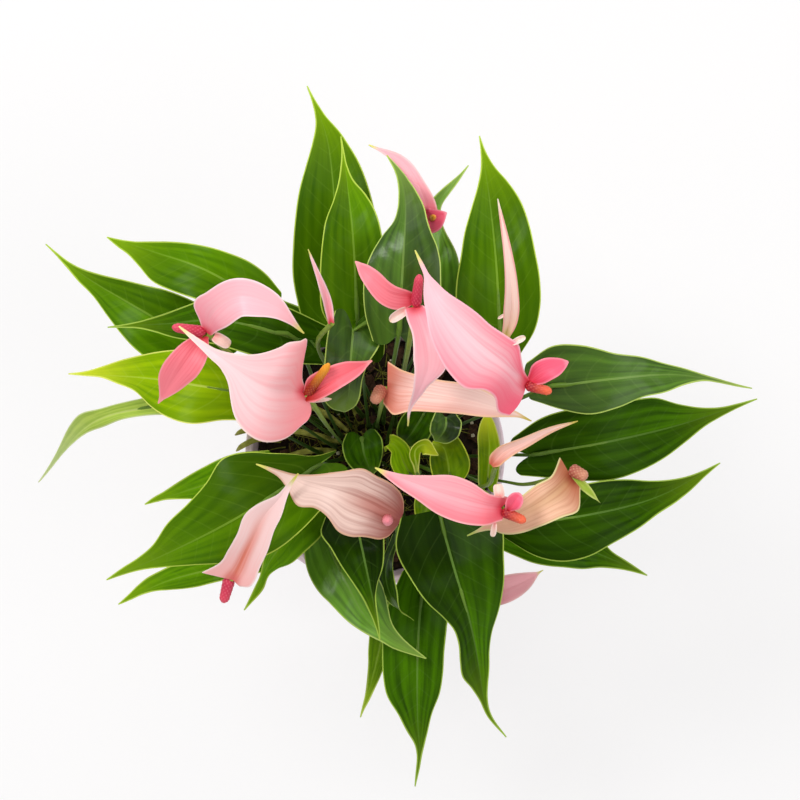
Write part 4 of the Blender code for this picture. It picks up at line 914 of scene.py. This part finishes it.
@dataclass
class Look:
    """Colours of a spathe, and how far and how strongly they tint it.

    body is the skin's own colour, base the one near the stalk, centre the one along the middle,
    margin the thin edge, tail the tip, and heart the deep one where the spathe meets its stalk. The
    centre is the spathe's own streak, except on blush, where it is a painted highlight: a pale sheen
    along the middle.
    reach is how far along the base colour fades out. streak is the strength of the centre's colour,
    which fades out by streak_end. flank and nerve are how much base colour lies toward the edges
    and along the nerves, and flush how much of it lies over the left half, or over the right half
    where it is negative.
    """

    body: str
    base: str
    centre: str
    margin: str
    tail: str
    reach: float = 0.4
    streak: float = 0.3
    streak_end: float = 0.8
    flank: float = 0.15
    nerve: float = 0.45
    flush: float = 0.0
    heart: str = "#e0344a"


SPATHE_LOOKS = {
    "pink": Look("#fbbbc3", "#fb94a4", "#fcbbc1", "#fcdcdc", "#d8d46c"),
    # blush's centre colour is a painted highlight, a pale sheen down the middle of the spathe.
    "blush": Look("#fbbdc5", "#f8607a", "#fdd9de", "#fbbac4", "#d8d46c", reach=0.38, streak=0.5,
                  flank=0.55),
    "warm": Look("#fbb0b8", "#fa8092", "#fba4ae", "#fcc8c6", "#dcd870", reach=0.34),
    "flushed": Look("#fbacb4", "#f86878", "#fba4ae", "#fcb8b8", "#dcd870", reach=0.34, flush=0.6),
    "cream": Look("#fce2d8", "#f2ccae", "#fcd4d0", "#f4a8a0", "#f4e4cc", reach=0.3, flank=0.0,
                  heart="#c8b458"),
    "pale": Look("#fccdcf", "#fb9298", "#fccdcf", "#fbdcd4", "#e4dc94", reach=0.34, flank=0.22),
    "rose": Look("#fa8490", "#dc3c50", "#f87884", "#fba0a6", "#f8a0a0", reach=0.28, heart="#d01c34"),
    "crimson": Look("#f2607c", "#cc1430", "#f66a80", "#f48a9a", "#f48a9a", reach=0.5, heart="#b80c24"),
    "flame": Look("#fa7480", "#b02414", "#f4606c", "#fb9aa0", "#f8a0a0", streak=0.5, heart="#981808"),
    "salmon": Look("#fcdacf", "#d4745c", "#fbcabd", "#f4c89c", "#d4c058", reach=0.25, streak=0.5,
                   flush=-0.35, heart="#cc6850"),
    "olive": Look("#ecbc9c", "#b06444", "#bc9460", "#dcd898", "#b8c860", reach=0.3, streak=0.45,
                  flank=0.0, nerve=0.5, heart="#8c3424"),
    "streaked": Look("#fbd6d3", "#fcbab6", "#e07860", "#fce0dc", "#ccc85c", streak=0.95, heart="#e0706c"),
    "beige": Look("#e2c4b8", "#8c4438", "#b06c60", "#c89c78", "#d4d464", reach=0.3, streak=0.8,
                  streak_end=0.45, nerve=0.6, heart="#84403c"),
    "ear": Look("#fadcd0", "#f8a8a4", "#fbd8cc", "#fce8dc", "#f4dcb4", reach=0.5, heart="#f8a8a4"),
    "sepal": Look("#a0b83c", "#a0b83c", "#a0b83c", "#c8d470", "#c8d470", streak=0.0,
                  heart="#a0b83c"),
}


def spathe_finish(look):
    """Satin spathe skin: thin and soft, paler edges, fine long nerves, a painted sheen on blush."""
    colours = SPATHE_LOOKS[look]
    finish, tree, shader = start_finish("satin_spathe_" + look, Roughness=0.38, Specular_IOR_Level=0.2)
    along, across, edge, rib = (
        add_node(tree, "Attribute", {"attribute_name": mark}, output="Fac")
        for mark in ("along", "across", "edge_mm", "rib_mm"))
    # Long nerves, one about every 2 mm, drawn as noise stretched along the spathe.
    flat = add_node(tree, "CombineXYZ", inputs=(across, along))
    stretched = add_node(tree, "VectorMath", PRODUCT, (flat, (9.0, 1.2, 1.0)))
    nerves = add_node(tree, "TexNoise", inputs={"Vector": stretched, "Scale": 1.0, "Detail": 4.0})
    middle = add_node(tree, "Math", {"operation": "ABSOLUTE"}, (across,))
    flushed_edge = 0.8 if colours.flush > 0 else -0.8
    near = add_node(tree, "MapRange", SMOOTH, (along, colours.reach, 0.0, 0.0, 0.95))
    # Centre colour down the middle: a painted highlight on blush, the spathe's own streak elsewhere.
    central = add_node(tree, "Math", PRODUCT, (
        add_node(tree, "MapRange", SMOOTH, (middle, 0.55, 0.05, 0.0, colours.streak)),
        add_node(tree, "MapRange", SMOOTH, (along, colours.streak_end, 0.2))))
    flanking = add_node(tree, "Math", PRODUCT, (
        add_node(tree, "MapRange", SMOOTH, (middle, 0.35, 1.0, 0.0, colours.flank)),
        add_node(tree, "MapRange", SMOOTH, (along, 0.85, 0.3))))
    flushed = add_node(tree, "MapRange", SMOOTH, (across, 0.0, flushed_edge, 0.0, abs(colours.flush)))
    veined = add_node(tree, "Math", PRODUCT, (
        add_node(tree, "MapRange", SMOOTH, (nerves, 0.4, 0.7, 0.0, colours.nerve)),
        add_node(tree, "MapRange", SMOOTH, (along, 0.75, 0.1, 0.2, 1.0))))
    edged = add_node(tree, "MapRange", SMOOTH, (edge, 1.1, 0.3, 0.0, 0.8))
    tailing = add_node(tree, "MapRange", SMOOTH, (along, 0.86, 0.97))
    # The heart reaches 6 mm to either side of the stalk.
    hearted = add_node(tree, "Math", PRODUCT, (
        add_node(tree, "MapRange", SMOOTH, (along, 0.1, 0.0, 0.0, 0.9)),
        add_node(tree, "MapRange", SMOOTH, (rib, 6.0, 1.0))))
    base = opaque(colours.base)
    skin = cover(tree, opaque(colours.body), [
        (near, base), (central, opaque(colours.centre)), (flanking, base), (flushed, base),
        (veined, base), (edged, opaque(colours.margin)), (tailing, opaque(colours.tail)),
        (hearted, opaque(colours.heart))])
    tree.links.new(skin, shader.inputs["Base Color"])
    bump = add_node(tree, "Bump", inputs={"Strength": 0.2, "Distance": 0.0006, "Height": nerves})
    tree.links.new(bump, shader.inputs["Normal"])
    return finish


# Spadix looks: foot, tip, and the crests of its tiny flowers.
SPADIX_LOOKS = {
    "crimson": ("#c02848", "#d84058", "#ec7888"),
    "sunset": ("#8c1408", "#f0a020", "#e89c40"),
    "coral": ("#98041c", "#ec6640", "#e06450"),
    "tan": ("#a85848", "#c88468", "#e0b08c"),
    "pink": ("#c85860", "#e88490", "#f4b0b4"),
}


def spadix_finish(look):
    """Spadix skin, as grown: packed flower buds, paler on their crests."""
    foot, tip, crest = map(opaque, SPADIX_LOOKS[look])
    finish, tree, shader = start_finish("spadix_" + look, Roughness=0.5, Specular_IOR_Level=0.4)
    along, height = (
        add_node(tree, "Attribute", {"attribute_name": mark}, output="Fac") for mark in ("along", "crest"))
    upward = add_node(tree, "MapRange", inputs=(along, 0.3, 0.9))
    crested = add_node(tree, "MapRange", SMOOTH, (height, 0.45, 1.0, 0.0, 0.5))
    tree.links.new(cover(tree, foot, [(upward, tip), (crested, crest)]), shader.inputs["Base Color"])
    return finish


def stalk_finish(name, foot, top):
    """Stalk skin, as grown: smooth, firm and green, paler toward its upper end."""
    foot, top = opaque(foot), opaque(top)
    finish, tree, shader = start_finish(name, Roughness=0.4, Specular_IOR_Level=0.3)
    place = add_node(tree, "TexCoord", output="Object")
    # Flecks about 2.5 mm long.
    flecks = add_node(tree, "TexNoise", inputs={"Vector": place, "Scale": 400.0, "Detail": 3.0})
    along = add_node(tree, "Attribute", {"attribute_name": "along"}, output="Fac")
    upward = add_node(tree, "MapRange", inputs=(along, 0.45, 1.0))
    flecked = add_node(tree, "MapRange", SMOOTH, (flecks, 0.5, 0.75, 0.0, 0.35))
    tree.links.new(cover(tree, foot, [(upward, top), (flecked, foot)]), shader.inputs["Base Color"])
    return finish


def glaze_finish(colour):
    """Glazed stoneware, dipped and fired: a clear gloss over faintly clouded pink."""
    finish, tree, shader = start_finish("glazed_stoneware", Roughness=0.16, IOR=1.5)
    place = add_node(tree, "TexCoord", output="Object")
    # Clouds about 30 mm wide, and iron specks about 1 mm across.
    clouds = add_node(tree, "TexNoise", inputs={"Vector": place, "Scale": 35.0, "Detail": 4.0})
    specks = add_node(tree, "TexVoronoi", inputs={"Vector": place, "Scale": 160.0})
    clouded = add_node(tree, "MapRange", SMOOTH, (clouds, 0.35, 0.7, 0.0, 0.35))
    specked = add_node(tree, "MapRange", SMOOTH, (specks, 0.1, 0.05, 0.0, 0.4))
    skin = cover(tree, opaque(colour), [(clouded, opaque("#e2c4d2")), (specked, opaque("#b89aa4"))])
    tree.links.new(skin, shader.inputs["Base Color"])
    ripple = add_node(tree, "Bump", inputs={"Strength": 0.15, "Distance": 0.0004, "Height": clouds})
    tree.links.new(ripple, shader.inputs["Normal"])
    return finish


def mix_finish(name, dark, light, grain_mm, roughness=0.9):
    """Loose dry matter, such as bark, peat or moss: matt, rough and unevenly coloured."""
    finish, tree, shader = start_finish(name, Roughness=roughness, Specular_IOR_Level=0.2)
    place = add_node(tree, "TexCoord", output="Object")
    grain = add_node(tree, "TexNoise", inputs={"Vector": place, "Scale": 1 / (grain_mm * MM), "Detail": 6.0})
    lit = add_node(tree, "MapRange", inputs=(grain, 0.3, 0.7))
    tree.links.new(cover(tree, opaque(dark), [(lit, opaque(light))]), shader.inputs["Base Color"])
    bump = add_node(tree, "Bump", inputs={"Strength": 0.7, "Distance": grain_mm * MM * 0.3, "Height": grain})
    tree.links.new(bump, shader.inputs["Normal"])
    return finish


def floor_finish(colour):
    """Matt white paper sweep: it keeps the plant's soft shadow and looks white to the camera."""
    finish, tree, shader = start_finish("paper_sweep", Roughness=0.9, Specular_IOR_Level=0.0)
    shader.inputs["Base Color"].default_value = opaque(colour)
    seen = add_node(tree, "Math", GREATER, (add_node(tree, "LightPath", output="Is Camera Ray"),
                                            add_node(tree, "LightPath", output="Is Glossy Ray")))
    # The glow takes over away from the plant, so that the sweep runs into the white behind it.
    place = add_node(tree, "TexCoord", output="Object")
    away = add_node(tree, "VectorMath", {"operation": "LENGTH"}, (place,), output="Value")
    taking_over = add_node(tree, "MapRange", SMOOTH, (away, 0.35, 1.6, 0.7, 1.0))
    share = add_node(tree, "Math", PRODUCT, (seen, taking_over))
    glow = add_node(tree, "Emission", inputs={"Color": opaque(colour), "Strength": 1.0})
    both = add_node(tree, "MixShader", inputs=(share, shader.outputs[0], glow))
    tree.links.new(both, tree.nodes["Material Output"].inputs["Surface"])
    return finish


# ---------------------------------------------------------------------------------------------
# The pot and the potting mix, in metres.

POT_SIDES = 128
# Heights of the pot's rings, as shares of its height.
POT_RINGS = (0.04, 0.08, 0.16, 0.3, 0.45, 0.6, 0.75, 0.88, 0.95)
# How much the pot's side bulges between foot and rim: 1 is a plain cone.
POT_BULGE = 0.8
POT_FLOOR = 0.006
# The foot's ring, as steps in from the foot's radius, and how high the recess inside it is.
RING_INSIDE = (0.009, 0.008)
RING_OUTSIDE = (0.004, 0.001)
RING_HEIGHT = 0.0015

SOIL_SEED = 7
# A turn all the way round, in radians, for the bark.
FULL_TURN = 6.28
# How far from the middle each kind lies, and how high over the mix.
BARK_REACH, BARK_LIFT = 0.054, (0.0015, 0.0035)
MOSS_REACH, MOSS_LIFT = 0.046, 0.003
CRUMB_REACH, CRUMB_LIFT = 0.055, (0.003, 0.0045)
CRUMBS = 40
# The mix's shown surface: its gap to the edge of the CAD's, its lift over it, the height and
# number to the metre of its lumps, and its depth.
SOIL_GAP = 0.0035
SOIL_LIFT = 0.0015
LUMP_HEIGHT = 0.0016
LUMPS = 150
SURFACE_DEPTH = 0.004

# Paths of the surface roots, in millimetres. The sixth and seventh run out over the rim.
SURFACE_ROOTS = (
    [(-18, 6, 108), (-30, 10, 114), (-44, 12, 112), (-55, 9, 108)],
    [(-20, 2, 108), (-33, 2, 113), (-46, -2, 111), (-54, -8, 107)],
    [(-14, 12, 107), (-24, 20, 113), (-36, 26, 112), (-46, 30, 107)],
    [(-8, 16, 107), (-12, 28, 113), (-16, 38, 110), (-18, 47, 107)],
    [(24, 10, 107), (36, 16, 112), (44, 20, 107)],
    [(-46, 16, 109), (-57, 14, 119.5), (-66, 12, 120), (-70, 10, 115)],
    [(-48, 7, 109), (-58, 8, 119.8), (-65.5, 5, 120), (-69.5, 2, 114)],
    [(10, -24, 107), (14, -36, 112), (18, -46, 107)],
)


def pot_profile(size):
    """Half section of the pot, as (radius, height) from under its foot round to its inner floor."""
    foot, rim, wall = size.foot_radius, size.rim_radius, size.wall
    outside = [(foot + (rim - foot) * share ** POT_BULGE, size.height * share) for share in POT_RINGS]
    inside = [(radius - wall, z) for radius, z in reversed(outside[1:])]
    lip = [(rim - wall / 2 + wall / 2 * math.cos(math.radians(turn)),
            size.height - wall / 2 + wall / 2 * math.sin(math.radians(turn))) for turn in range(0, 181, 20)]
    base = [(foot - RING_INSIDE[0], RING_HEIGHT), (foot - RING_INSIDE[1], 0),
            (foot - RING_OUTSIDE[0], 0), (foot - RING_OUTSIDE[1], RING_HEIGHT)]
    return base + outside + lip + inside + [(foot - wall - 0.002, POT_FLOOR)]


def add_turned(name, profile, sides):
    """A turned shape, extruded ring by ring from a disc at the profile's start."""
    radius, z = profile[0]
    piece = add_primitive(name, bpy.ops.mesh.primitive_circle_add, vertices=sides, radius=radius,
                          fill_type="NGON", location=(0, 0, z))
    bpy.ops.object.transform_apply(location=True, rotation=False, scale=False)
    bpy.ops.object.mode_set(mode="EDIT")
    bpy.ops.mesh.select_all(action="SELECT")
    for next_radius, next_z in profile[1:]:
        widening = next_radius / radius
        bpy.ops.mesh.extrude_region_move(TRANSFORM_OT_translate={"value": (0, 0, next_z - z)})
        bpy.ops.transform.resize(value=(widening, widening, 1), center_override=(0, 0, next_z))
        radius, z = next_radius, next_z
    bpy.ops.object.mode_set(mode="OBJECT")
    face_outward()
    bpy.ops.object.shade_smooth_by_angle(angle=BLADE_CREASE)
    return piece


def add_surface(finish):
    """The lumpy top layer of the mix, from a grid drawn out to a disc."""
    piece = add_primitive("soil_surface", bpy.ops.mesh.primitive_grid_add, x_subdivisions=90,
                          y_subdivisions=90, size=2)
    low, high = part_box("soil")
    radius = (high.x - low.x) / 2 - SOIL_GAP
    for vertex in piece.data.vertices:
        x, y = vertex.co.x, vertex.co.y
        place = Vector((x * math.sqrt(1 - y * y / 2), y * math.sqrt(1 - x * x / 2), 0)) * radius
        place.z = high.z + SOIL_LIFT + LUMP_HEIGHT * noise.fractal(place * LUMPS, 0.8, 2.0, 4)
        vertex.co = place
    layer = piece.modifiers.new("Depth", "SOLIDIFY")
    layer.thickness = SURFACE_DEPTH
    layer.offset = -1
    bpy.ops.object.modifier_apply(modifier=layer.name)
    bpy.ops.object.shade_smooth()
    settle(piece, finish, "potting_mix")


def scatter(name, copies):
    """One piece made of copies of small shapes, given as pairs of mesh and transform."""
    whole = bmesh.new()
    for shape, transform in copies:
        copy = shape.copy()
        copy.transform(transform)
        whole.from_mesh(copy)
        bpy.data.meshes.remove(copy)
    mesh = bpy.data.meshes.new(name)
    whole.to_mesh(mesh)
    whole.free()
    piece = bpy.data.objects.new(name, mesh)
    bpy.context.collection.objects.link(piece)
    return piece


def lay_on_mix(draws, reach, z):
    """A move to a place on the mix, within reach of the middle."""
    radius = reach * math.sqrt(draws.random())
    angle = draws.uniform(0, 2 * math.pi)
    return Matrix.Translation((radius * math.cos(angle), radius * math.sin(angle), z))


def add_bark(draws, count, colour):
    """Bark pieces, 4 to 9 mm long, from one chipped block."""
    block = add_primitive("block", bpy.ops.mesh.primitive_cube_add, size=1)
    bpy.ops.object.mode_set(mode="EDIT")
    bpy.ops.mesh.select_all(action="SELECT")
    bpy.ops.mesh.bevel(offset=0.16, segments=1, affect="EDGES")
    bpy.ops.mesh.vertices_smooth(factor=0.2)
    bpy.ops.object.mode_set(mode="OBJECT")
    for vertex in block.data.vertices:
        vertex.co += noise.noise_vector(vertex.co * 2.3) * 0.22
    copies = []
    for _ in range(count):
        lift = draws.uniform(*BARK_LIFT)
        move = lay_on_mix(draws, BARK_REACH, SOIL_TOP * MM + lift)
        turn = Matrix.Rotation(draws.uniform(0, FULL_TURN), 4, "Z")
        tilt = Matrix.Rotation(draws.gauss(0, 0.35), 4, "X")
        length = draws.uniform(0.004, 0.009)
        width, height = length * draws.uniform(0.4, 0.8), length * draws.uniform(0.25, 0.45)
        copies.append((block.data, move @ turn @ tilt @ Matrix.Diagonal((length, width, height, 1))))
    piece = scatter("bark_pieces", copies)
    bpy.data.objects.remove(block)
    # Painted shade: the bark's darkest colour is near black, deeper than bark's own brown, for the shade
    # between the leaves.
    settle(piece, mix_finish("pine_bark", "#1c1009", colour, 1.6), "potting_mix")


def add_moss(draws, count, colour):
    """Moss strands, up to 12 mm long and 0.5 mm thick, copied from three curls."""
    curls = [add_tube("curl", [(0, 0, 0), (4, bend, 1.6), (8, 2.4 * bend, 1.2), (11, 4 * bend, 0)],
                      [(0, 0.28), (1, 0.1)], sides=4, steps=6) for bend in (-1.7, 0.5, 1.5)]
    copies = []
    for _ in range(count):
        move = lay_on_mix(draws, MOSS_REACH, SOIL_TOP * MM + MOSS_LIFT)
        turn = Matrix.Rotation(draws.uniform(0, 2 * math.pi), 4, "Z")
        scale = Matrix.Diagonal((draws.uniform(0.6, 1.1), draws.uniform(0.6, 1.3), draws.random(), 1))
        copies.append((draws.choice(curls).data, move @ turn @ scale))
    piece = scatter("moss", copies)
    for curl in curls:
        bpy.data.objects.remove(curl)
    settle(piece, mix_finish("sphagnum_moss", "#48480f", colour, 3.0), "potting_mix")


def add_crumbs(draws):
    """White perlite crumbs, 1 to 2.5 mm across."""
    ball = add_primitive("ball", bpy.ops.mesh.primitive_ico_sphere_add, subdivisions=1, radius=0.5)
    for vertex in ball.data.vertices:
        vertex.co *= 1 + 0.35 * noise.noise(vertex.co * 3)
    copies = []
    for _ in range(CRUMBS):
        lift = draws.uniform(*CRUMB_LIFT)
        move = lay_on_mix(draws, CRUMB_REACH, SOIL_TOP * MM + lift)
        copies.append((ball.data, move @ Matrix.Scale(draws.uniform(0.001, 0.0025), 4)))
    piece = scatter("perlite_crumbs", copies)
    bpy.data.objects.remove(ball)
    settle(piece, mix_finish("perlite", "#a89c80", "#dcd4c0", 0.8), "potting_mix")


def add_roots():
    """Thick surface roots that arch over the mix, two of them over the rim at the west."""
    finish = mix_finish("root_skin", "#7c7a2c", "#b8b458", 4.0, roughness=0.7)
    for number, path in enumerate(SURFACE_ROOTS):
        piece = add_tube(f"surface_root_{number + 1}", path, [(0, 1.2), (0.5, 1.5), (0.9, 1.0), (1, 0.4)])
        settle(piece, finish, "potting_mix")


class ANTHURIUM_OT_pot(bpy.types.Operator):
    """Turn the glazed pot with its soft rim and foot"""

    bl_idname = "anthurium.pot"
    bl_label = "Pot"

    def execute(self, context):
        size = context.scene.anthurium_pot
        piece = add_turned("pot_glazed", pot_profile(size), POT_SIDES)
        settle(piece, glaze_finish(size.glaze), "pot_glaze", "pot")
        return {"FINISHED"}


class ANTHURIUM_OT_soil(bpy.types.Operator):
    """Lay the potting mix: its rough surface, bark, moss, crumbs and surface roots"""

    bl_idname = "anthurium.soil"
    bl_label = "Potting mix"

    def execute(self, context):
        settings = context.scene.anthurium_soil
        draws = random.Random(SOIL_SEED)
        noise.seed_set(SOIL_SEED)
        # Painted shade: the peat runs from near black to dark brown, darker than peat's own colour, for the
        # shade between the leaves.
        peat = mix_finish("peat", "#120a06", "#281a10", 2.5)
        soil = frame["nodes"]["soil"]
        soil.data.materials.clear()
        soil.data.materials.append(peat)
        add_surface(peat)
        add_bark(draws, settings.chips, settings.bark)
        add_moss(draws, settings.strands, settings.moss)
        add_crumbs(draws)
        add_roots()
        return {"FINISHED"}


# ---------------------------------------------------------------------------------------------
# Leaves and flowers.

# The tiny flowers of a spadix lie on spirals that cross: how many go round it, how far apart their
# turns are and how far the crests stand out, in millimetres.
SPIRALS = 9
SPIRAL_STEP = 1.15
CREST = 0.32
# How far a spadix sinks into its stalk, in millimetres.
SPADIX_SINK = 1.0


def ear_form(start, end, girth):
    """The curled lobe at a spathe's base: a short hollow petal between two places."""
    start, end = np.array(start, float), np.array(end, float)
    middle = (start + end) / 2 + (0, 0, 0.35 * girth)
    return Spathe([start, middle, end], scaled(girth, EAR), fold=(20, 20), cup=(55, 55), lobe=(0, 0),
                  look="ear", wave=0.1)


def add_petal(name, form, grid, size):
    """A spathe, bract or ear from its form."""
    return add_blade(name, form, lambda along: through(form.left, along),
                     lambda along: through(form.right, along), grid, size.thickness)


def add_spadix(name, flower):
    """The spike: a drawn-out ball, covered with a net of tiny flowers along crossing spirals."""
    piece = add_primitive(name, bpy.ops.mesh.primitive_uv_sphere_add, segments=48, ring_count=48,
                          radius=1)
    foot, tip = (Vector(point) for point in flower.spadix)
    axis = tip - foot
    foot = foot - axis.normalized() * SPADIX_SINK
    length = axis.length + SPADIX_SINK
    turn = Vector((0, 0, 1)).rotation_difference(axis)
    winding = math.pi * length / SPIRAL_STEP
    heights, crests = [], []
    for vertex in piece.data.vertices:
        height = (1 + max(-1, min(1, vertex.co.z))) / 2
        angle = math.atan2(vertex.co.y, vertex.co.x)
        flat = math.hypot(vertex.co.x, vertex.co.y)
        spirals = (math.cos(SPIRALS * angle + winding * height)
                   + math.cos(SPIRALS * angle - winding * height))
        crest = (0.5 + 0.25 * spirals) * min(1, flat * 3)
        girth = flower.spadix_radius * min(1, flat * 1.35) * (1 - 0.28 * height) + CREST * (crest - 0.5)
        if flat < 1e-6:
            girth = 0
        local = Vector((math.cos(angle) * girth, math.sin(angle) * girth, length * height))
        vertex.co = (foot + turn @ local) * MM
        heights.append(height)
        crests.append(crest)
    keep_marks(piece.data, along=heights, crest=crests)
    bpy.ops.object.shade_smooth()
    return piece


class ANTHURIUM_OT_leaves(bpy.types.Operator):
    """Grow the leaves, each a blade on its own stalk"""

    bl_idname = "anthurium.leaves"
    bl_label = "Leaves"

    def execute(self, context):
        size = context.scene.anthurium_leaf
        skins = {tone: leaf_finish(tone) for tone in LEAF_TONES}
        stalk = stalk_finish("leaf_stalk", "#2e4a0c", "#6c9024")
        for name, leaf in LEAVES.items():
            grid = GROWN_LEAF_GRID if leaf.half_width > GRID_LIMIT else SMALL_LEAF_GRID
            blade = add_blade(name + "_blade", leaf, lambda along: leaf_half_width(leaf, along, leaf.left),
                              lambda along: leaf_half_width(leaf, along, leaf.right), grid, size.thickness,
                              quilting=size.quilting / MM, spacing=size.vein_spacing / MM)
            settle(blade, skins[leaf.tone], frame_slot(name), name)
            radius = size.stalk_radius / MM * (1 if leaf.half_width > STALK_LIMIT else THIN_STALK)
            # The stalk runs on under the blade as a keel.
            keel = smooth_line(leaf.midrib, 12)[[1, 3, 5]] - (0, 0, 0.5)
            path = [*stalk_path(leaf.root, leaf.via, leaf.midrib[0]), *keel]
            radii = [(0, 1.3), (0.1, 1), (0.7, 0.9), (0.84, 1.1), (0.9, 0.6)]
            tube = add_tube(name + "_stalk", path, [*scaled(radius, radii), (1, 0.2)])
            settle(tube, stalk, frame_slot(name), name)
        return {"FINISHED"}


class ANTHURIUM_OT_flowers(bpy.types.Operator):
    """Grow the flowers and buds: stalk, spathe, spadix and bract"""

    bl_idname = "anthurium.flowers"
    bl_label = "Flowers"

    def execute(self, context):
        size = context.scene.anthurium_flower
        skins = {look: spathe_finish(look) for look in SPATHE_LOOKS}
        spikes = {look: spadix_finish(look) for look in SPADIX_LOOKS}
        stalk = stalk_finish("flower_stalk", "#34500e", "#8ca43c")
        radius = size.stalk_radius / MM
        radii = scaled(radius, [(0, 1.3), (0.1, 1), (0.9, 1), (1, 1.15)])
        for name, flower in FLOWERS.items():
            open_flower = bool(flower.spadix)
            stem_node = name + "_stem" if open_flower else name
            spathe_node = name + "_spathe" if open_flower else name
            stem_slot = "flower_stem" if open_flower else frame_slot(name)
            tube = add_tube(name + "_stalk", stalk_path(flower.root, flower.via, flower.top), radii)
            settle(tube, stalk, stem_slot, stem_node)
            petal = add_petal(name + "_petal", flower.spathe, SPATHE_GRID, size)
            settle(petal, skins[flower.spathe.look], frame_slot(spathe_node), spathe_node)
            if flower.bract:
                petal = add_petal(name + "_bract", flower.bract, BRACT_GRID, size)
                settle(petal, skins[flower.bract.look], stem_slot, stem_node)
            for number, measures in enumerate(flower.ears):
                form = ear_form(*measures)
                ear = add_petal(f"{name}_ear_{number + 1}", form, EAR_GRID, size)
                settle(ear, skins[form.look], frame_slot(spathe_node), spathe_node)
            if open_flower:
                spike = add_spadix(name + "_spadix", flower)
                settle(spike, spikes[flower.spadix_look], stem_slot, stem_node)
        return {"FINISHED"}


# ---------------------------------------------------------------------------------------------
# The stage.

# The camera looks straight down from over this place, on a sensor of this many millimetres.
CAMERA_PLACE = (0.0125, 0.0275)
SENSOR = 36
# The floor is a square of this side, half a millimetre below the pot's foot.
FLOOR_SIDE = 8
FLOOR_Z = -0.0005
# Lamps: name, place, width of the disc in metres, and power in watts. All face the plant's middle.
LAMPS = (
    ("key", (-0.8, 0.7, 1.7), 0.7, 17),
    ("fill", (1.0, -0.3, 1.6), 1.2, 8),
    ("back", (0.2, 1.3, 1.1), 1.0, 5),
)
LAMP_AIM = Vector((0, 0, 0.15))
# Strength of the world's light on the plant. It is seen as white, at a strength of 1.
WORLD_LIGHT = 0.5


def add_world():
    """Plain white surroundings that light the plant softly."""
    world = bpy.data.worlds.new("studio")
    world.use_nodes = True
    tree = world.node_tree
    seen = add_node(tree, "LightPath", output="Is Camera Ray")
    for kind in ("Glossy", "Transmission"):
        ray = add_node(tree, "LightPath", output=f"Is {kind} Ray")
        seen = add_node(tree, "Math", GREATER, (seen, ray))
    strength = add_node(tree, "MapRange", SMOOTH, (seen, 0.0, 1.0, WORLD_LIGHT, 1.0))
    background = tree.nodes["Background"]
    background.inputs["Color"].default_value = (1, 1, 1, 1)
    tree.links.new(strength, background.inputs["Strength"])
    return world


class ANTHURIUM_OT_stage(bpy.types.Operator):
    """Set up the camera, the soft light and the pale floor"""

    bl_idname = "anthurium.stage"
    bl_label = "Stage"

    def execute(self, context):
        size = context.scene.anthurium_stage
        floor = add_primitive("floor", bpy.ops.mesh.primitive_plane_add, size=FLOOR_SIDE,
                              location=(0, 0, FLOOR_Z))
        bpy.ops.object.transform_apply(location=True, rotation=False, scale=False)
        floor.data.materials.append(floor_finish(size.floor))
        bpy.ops.object.camera_add(location=(*CAMERA_PLACE, size.camera_height), rotation=(0, 0, 0))
        camera = context.active_object
        camera.data.lens = size.lens
        camera.data.sensor_width = SENSOR
        camera.data.clip_start = 0.01
        camera.data.clip_end = 20
        context.scene.camera = camera
        for name, place, width, power in LAMPS:
            bpy.ops.object.light_add(type="AREA", location=place)
            lamp = context.active_object
            lamp.name = name
            lamp.data.shape = "DISK"
            lamp.data.size = width
            lamp.data.energy = power
            lamp.rotation_euler = (LAMP_AIM - Vector(place)).to_track_quat("-Z", "Y").to_euler()
        context.scene.world = add_world()
        context.scene.view_settings.view_transform = "Standard"
        return {"FINISHED"}


class ANTHURIUM_PT_panel(bpy.types.Panel):
    """Buttons and sizes of the potted anthurium"""

    bl_label = "Potted anthurium"
    bl_idname = "ANTHURIUM_PT_panel"
    bl_space_type = "VIEW_3D"
    bl_region_type = "UI"
    bl_category = "Anthurium"

    def draw(self, context):
        for operator, settings in STEPS:
            box = self.layout.box()
            box.operator(operator.bl_idname)
            group = getattr(context.scene, settings)
            for key in group.bl_rna.properties.keys():
                if key not in ("rna_type", "name"):
                    box.prop(group, key)


SETTINGS = {
    "anthurium_pot": PotSettings,
    "anthurium_soil": SoilSettings,
    "anthurium_leaf": LeafSettings,
    "anthurium_flower": FlowerSettings,
    "anthurium_stage": StageSettings,
}
STEPS = (
    (ANTHURIUM_OT_stage, "anthurium_stage"),
    (ANTHURIUM_OT_pot, "anthurium_pot"),
    (ANTHURIUM_OT_soil, "anthurium_soil"),
    (ANTHURIUM_OT_leaves, "anthurium_leaf"),
    (ANTHURIUM_OT_flowers, "anthurium_flower"),
)


def register():
    """Register the settings, operators and panel."""
    for name, group in SETTINGS.items():
        bpy.utils.register_class(group)
        setattr(bpy.types.Scene, name, PointerProperty(type=group))
    for operator, _ in STEPS:
        bpy.utils.register_class(operator)
    bpy.utils.register_class(ANTHURIUM_PT_panel)


def unregister():
    """Take them all out again."""
    bpy.utils.unregister_class(ANTHURIUM_PT_panel)
    for operator, _ in reversed(STEPS):
        bpy.utils.unregister_class(operator)
    for name, group in SETTINGS.items():
        delattr(bpy.types.Scene, name)
        bpy.utils.unregister_class(group)


def main():
    """Register the add-on, then make the stage, the pot, the potting mix, the leaves and the flowers."""
    register()
    bpy.ops.anthurium.stage()
    bpy.ops.anthurium.pot()
    bpy.ops.anthurium.soil()
    bpy.ops.anthurium.leaves()
    bpy.ops.anthurium.flowers()


if __name__ == "__main__":
    main()
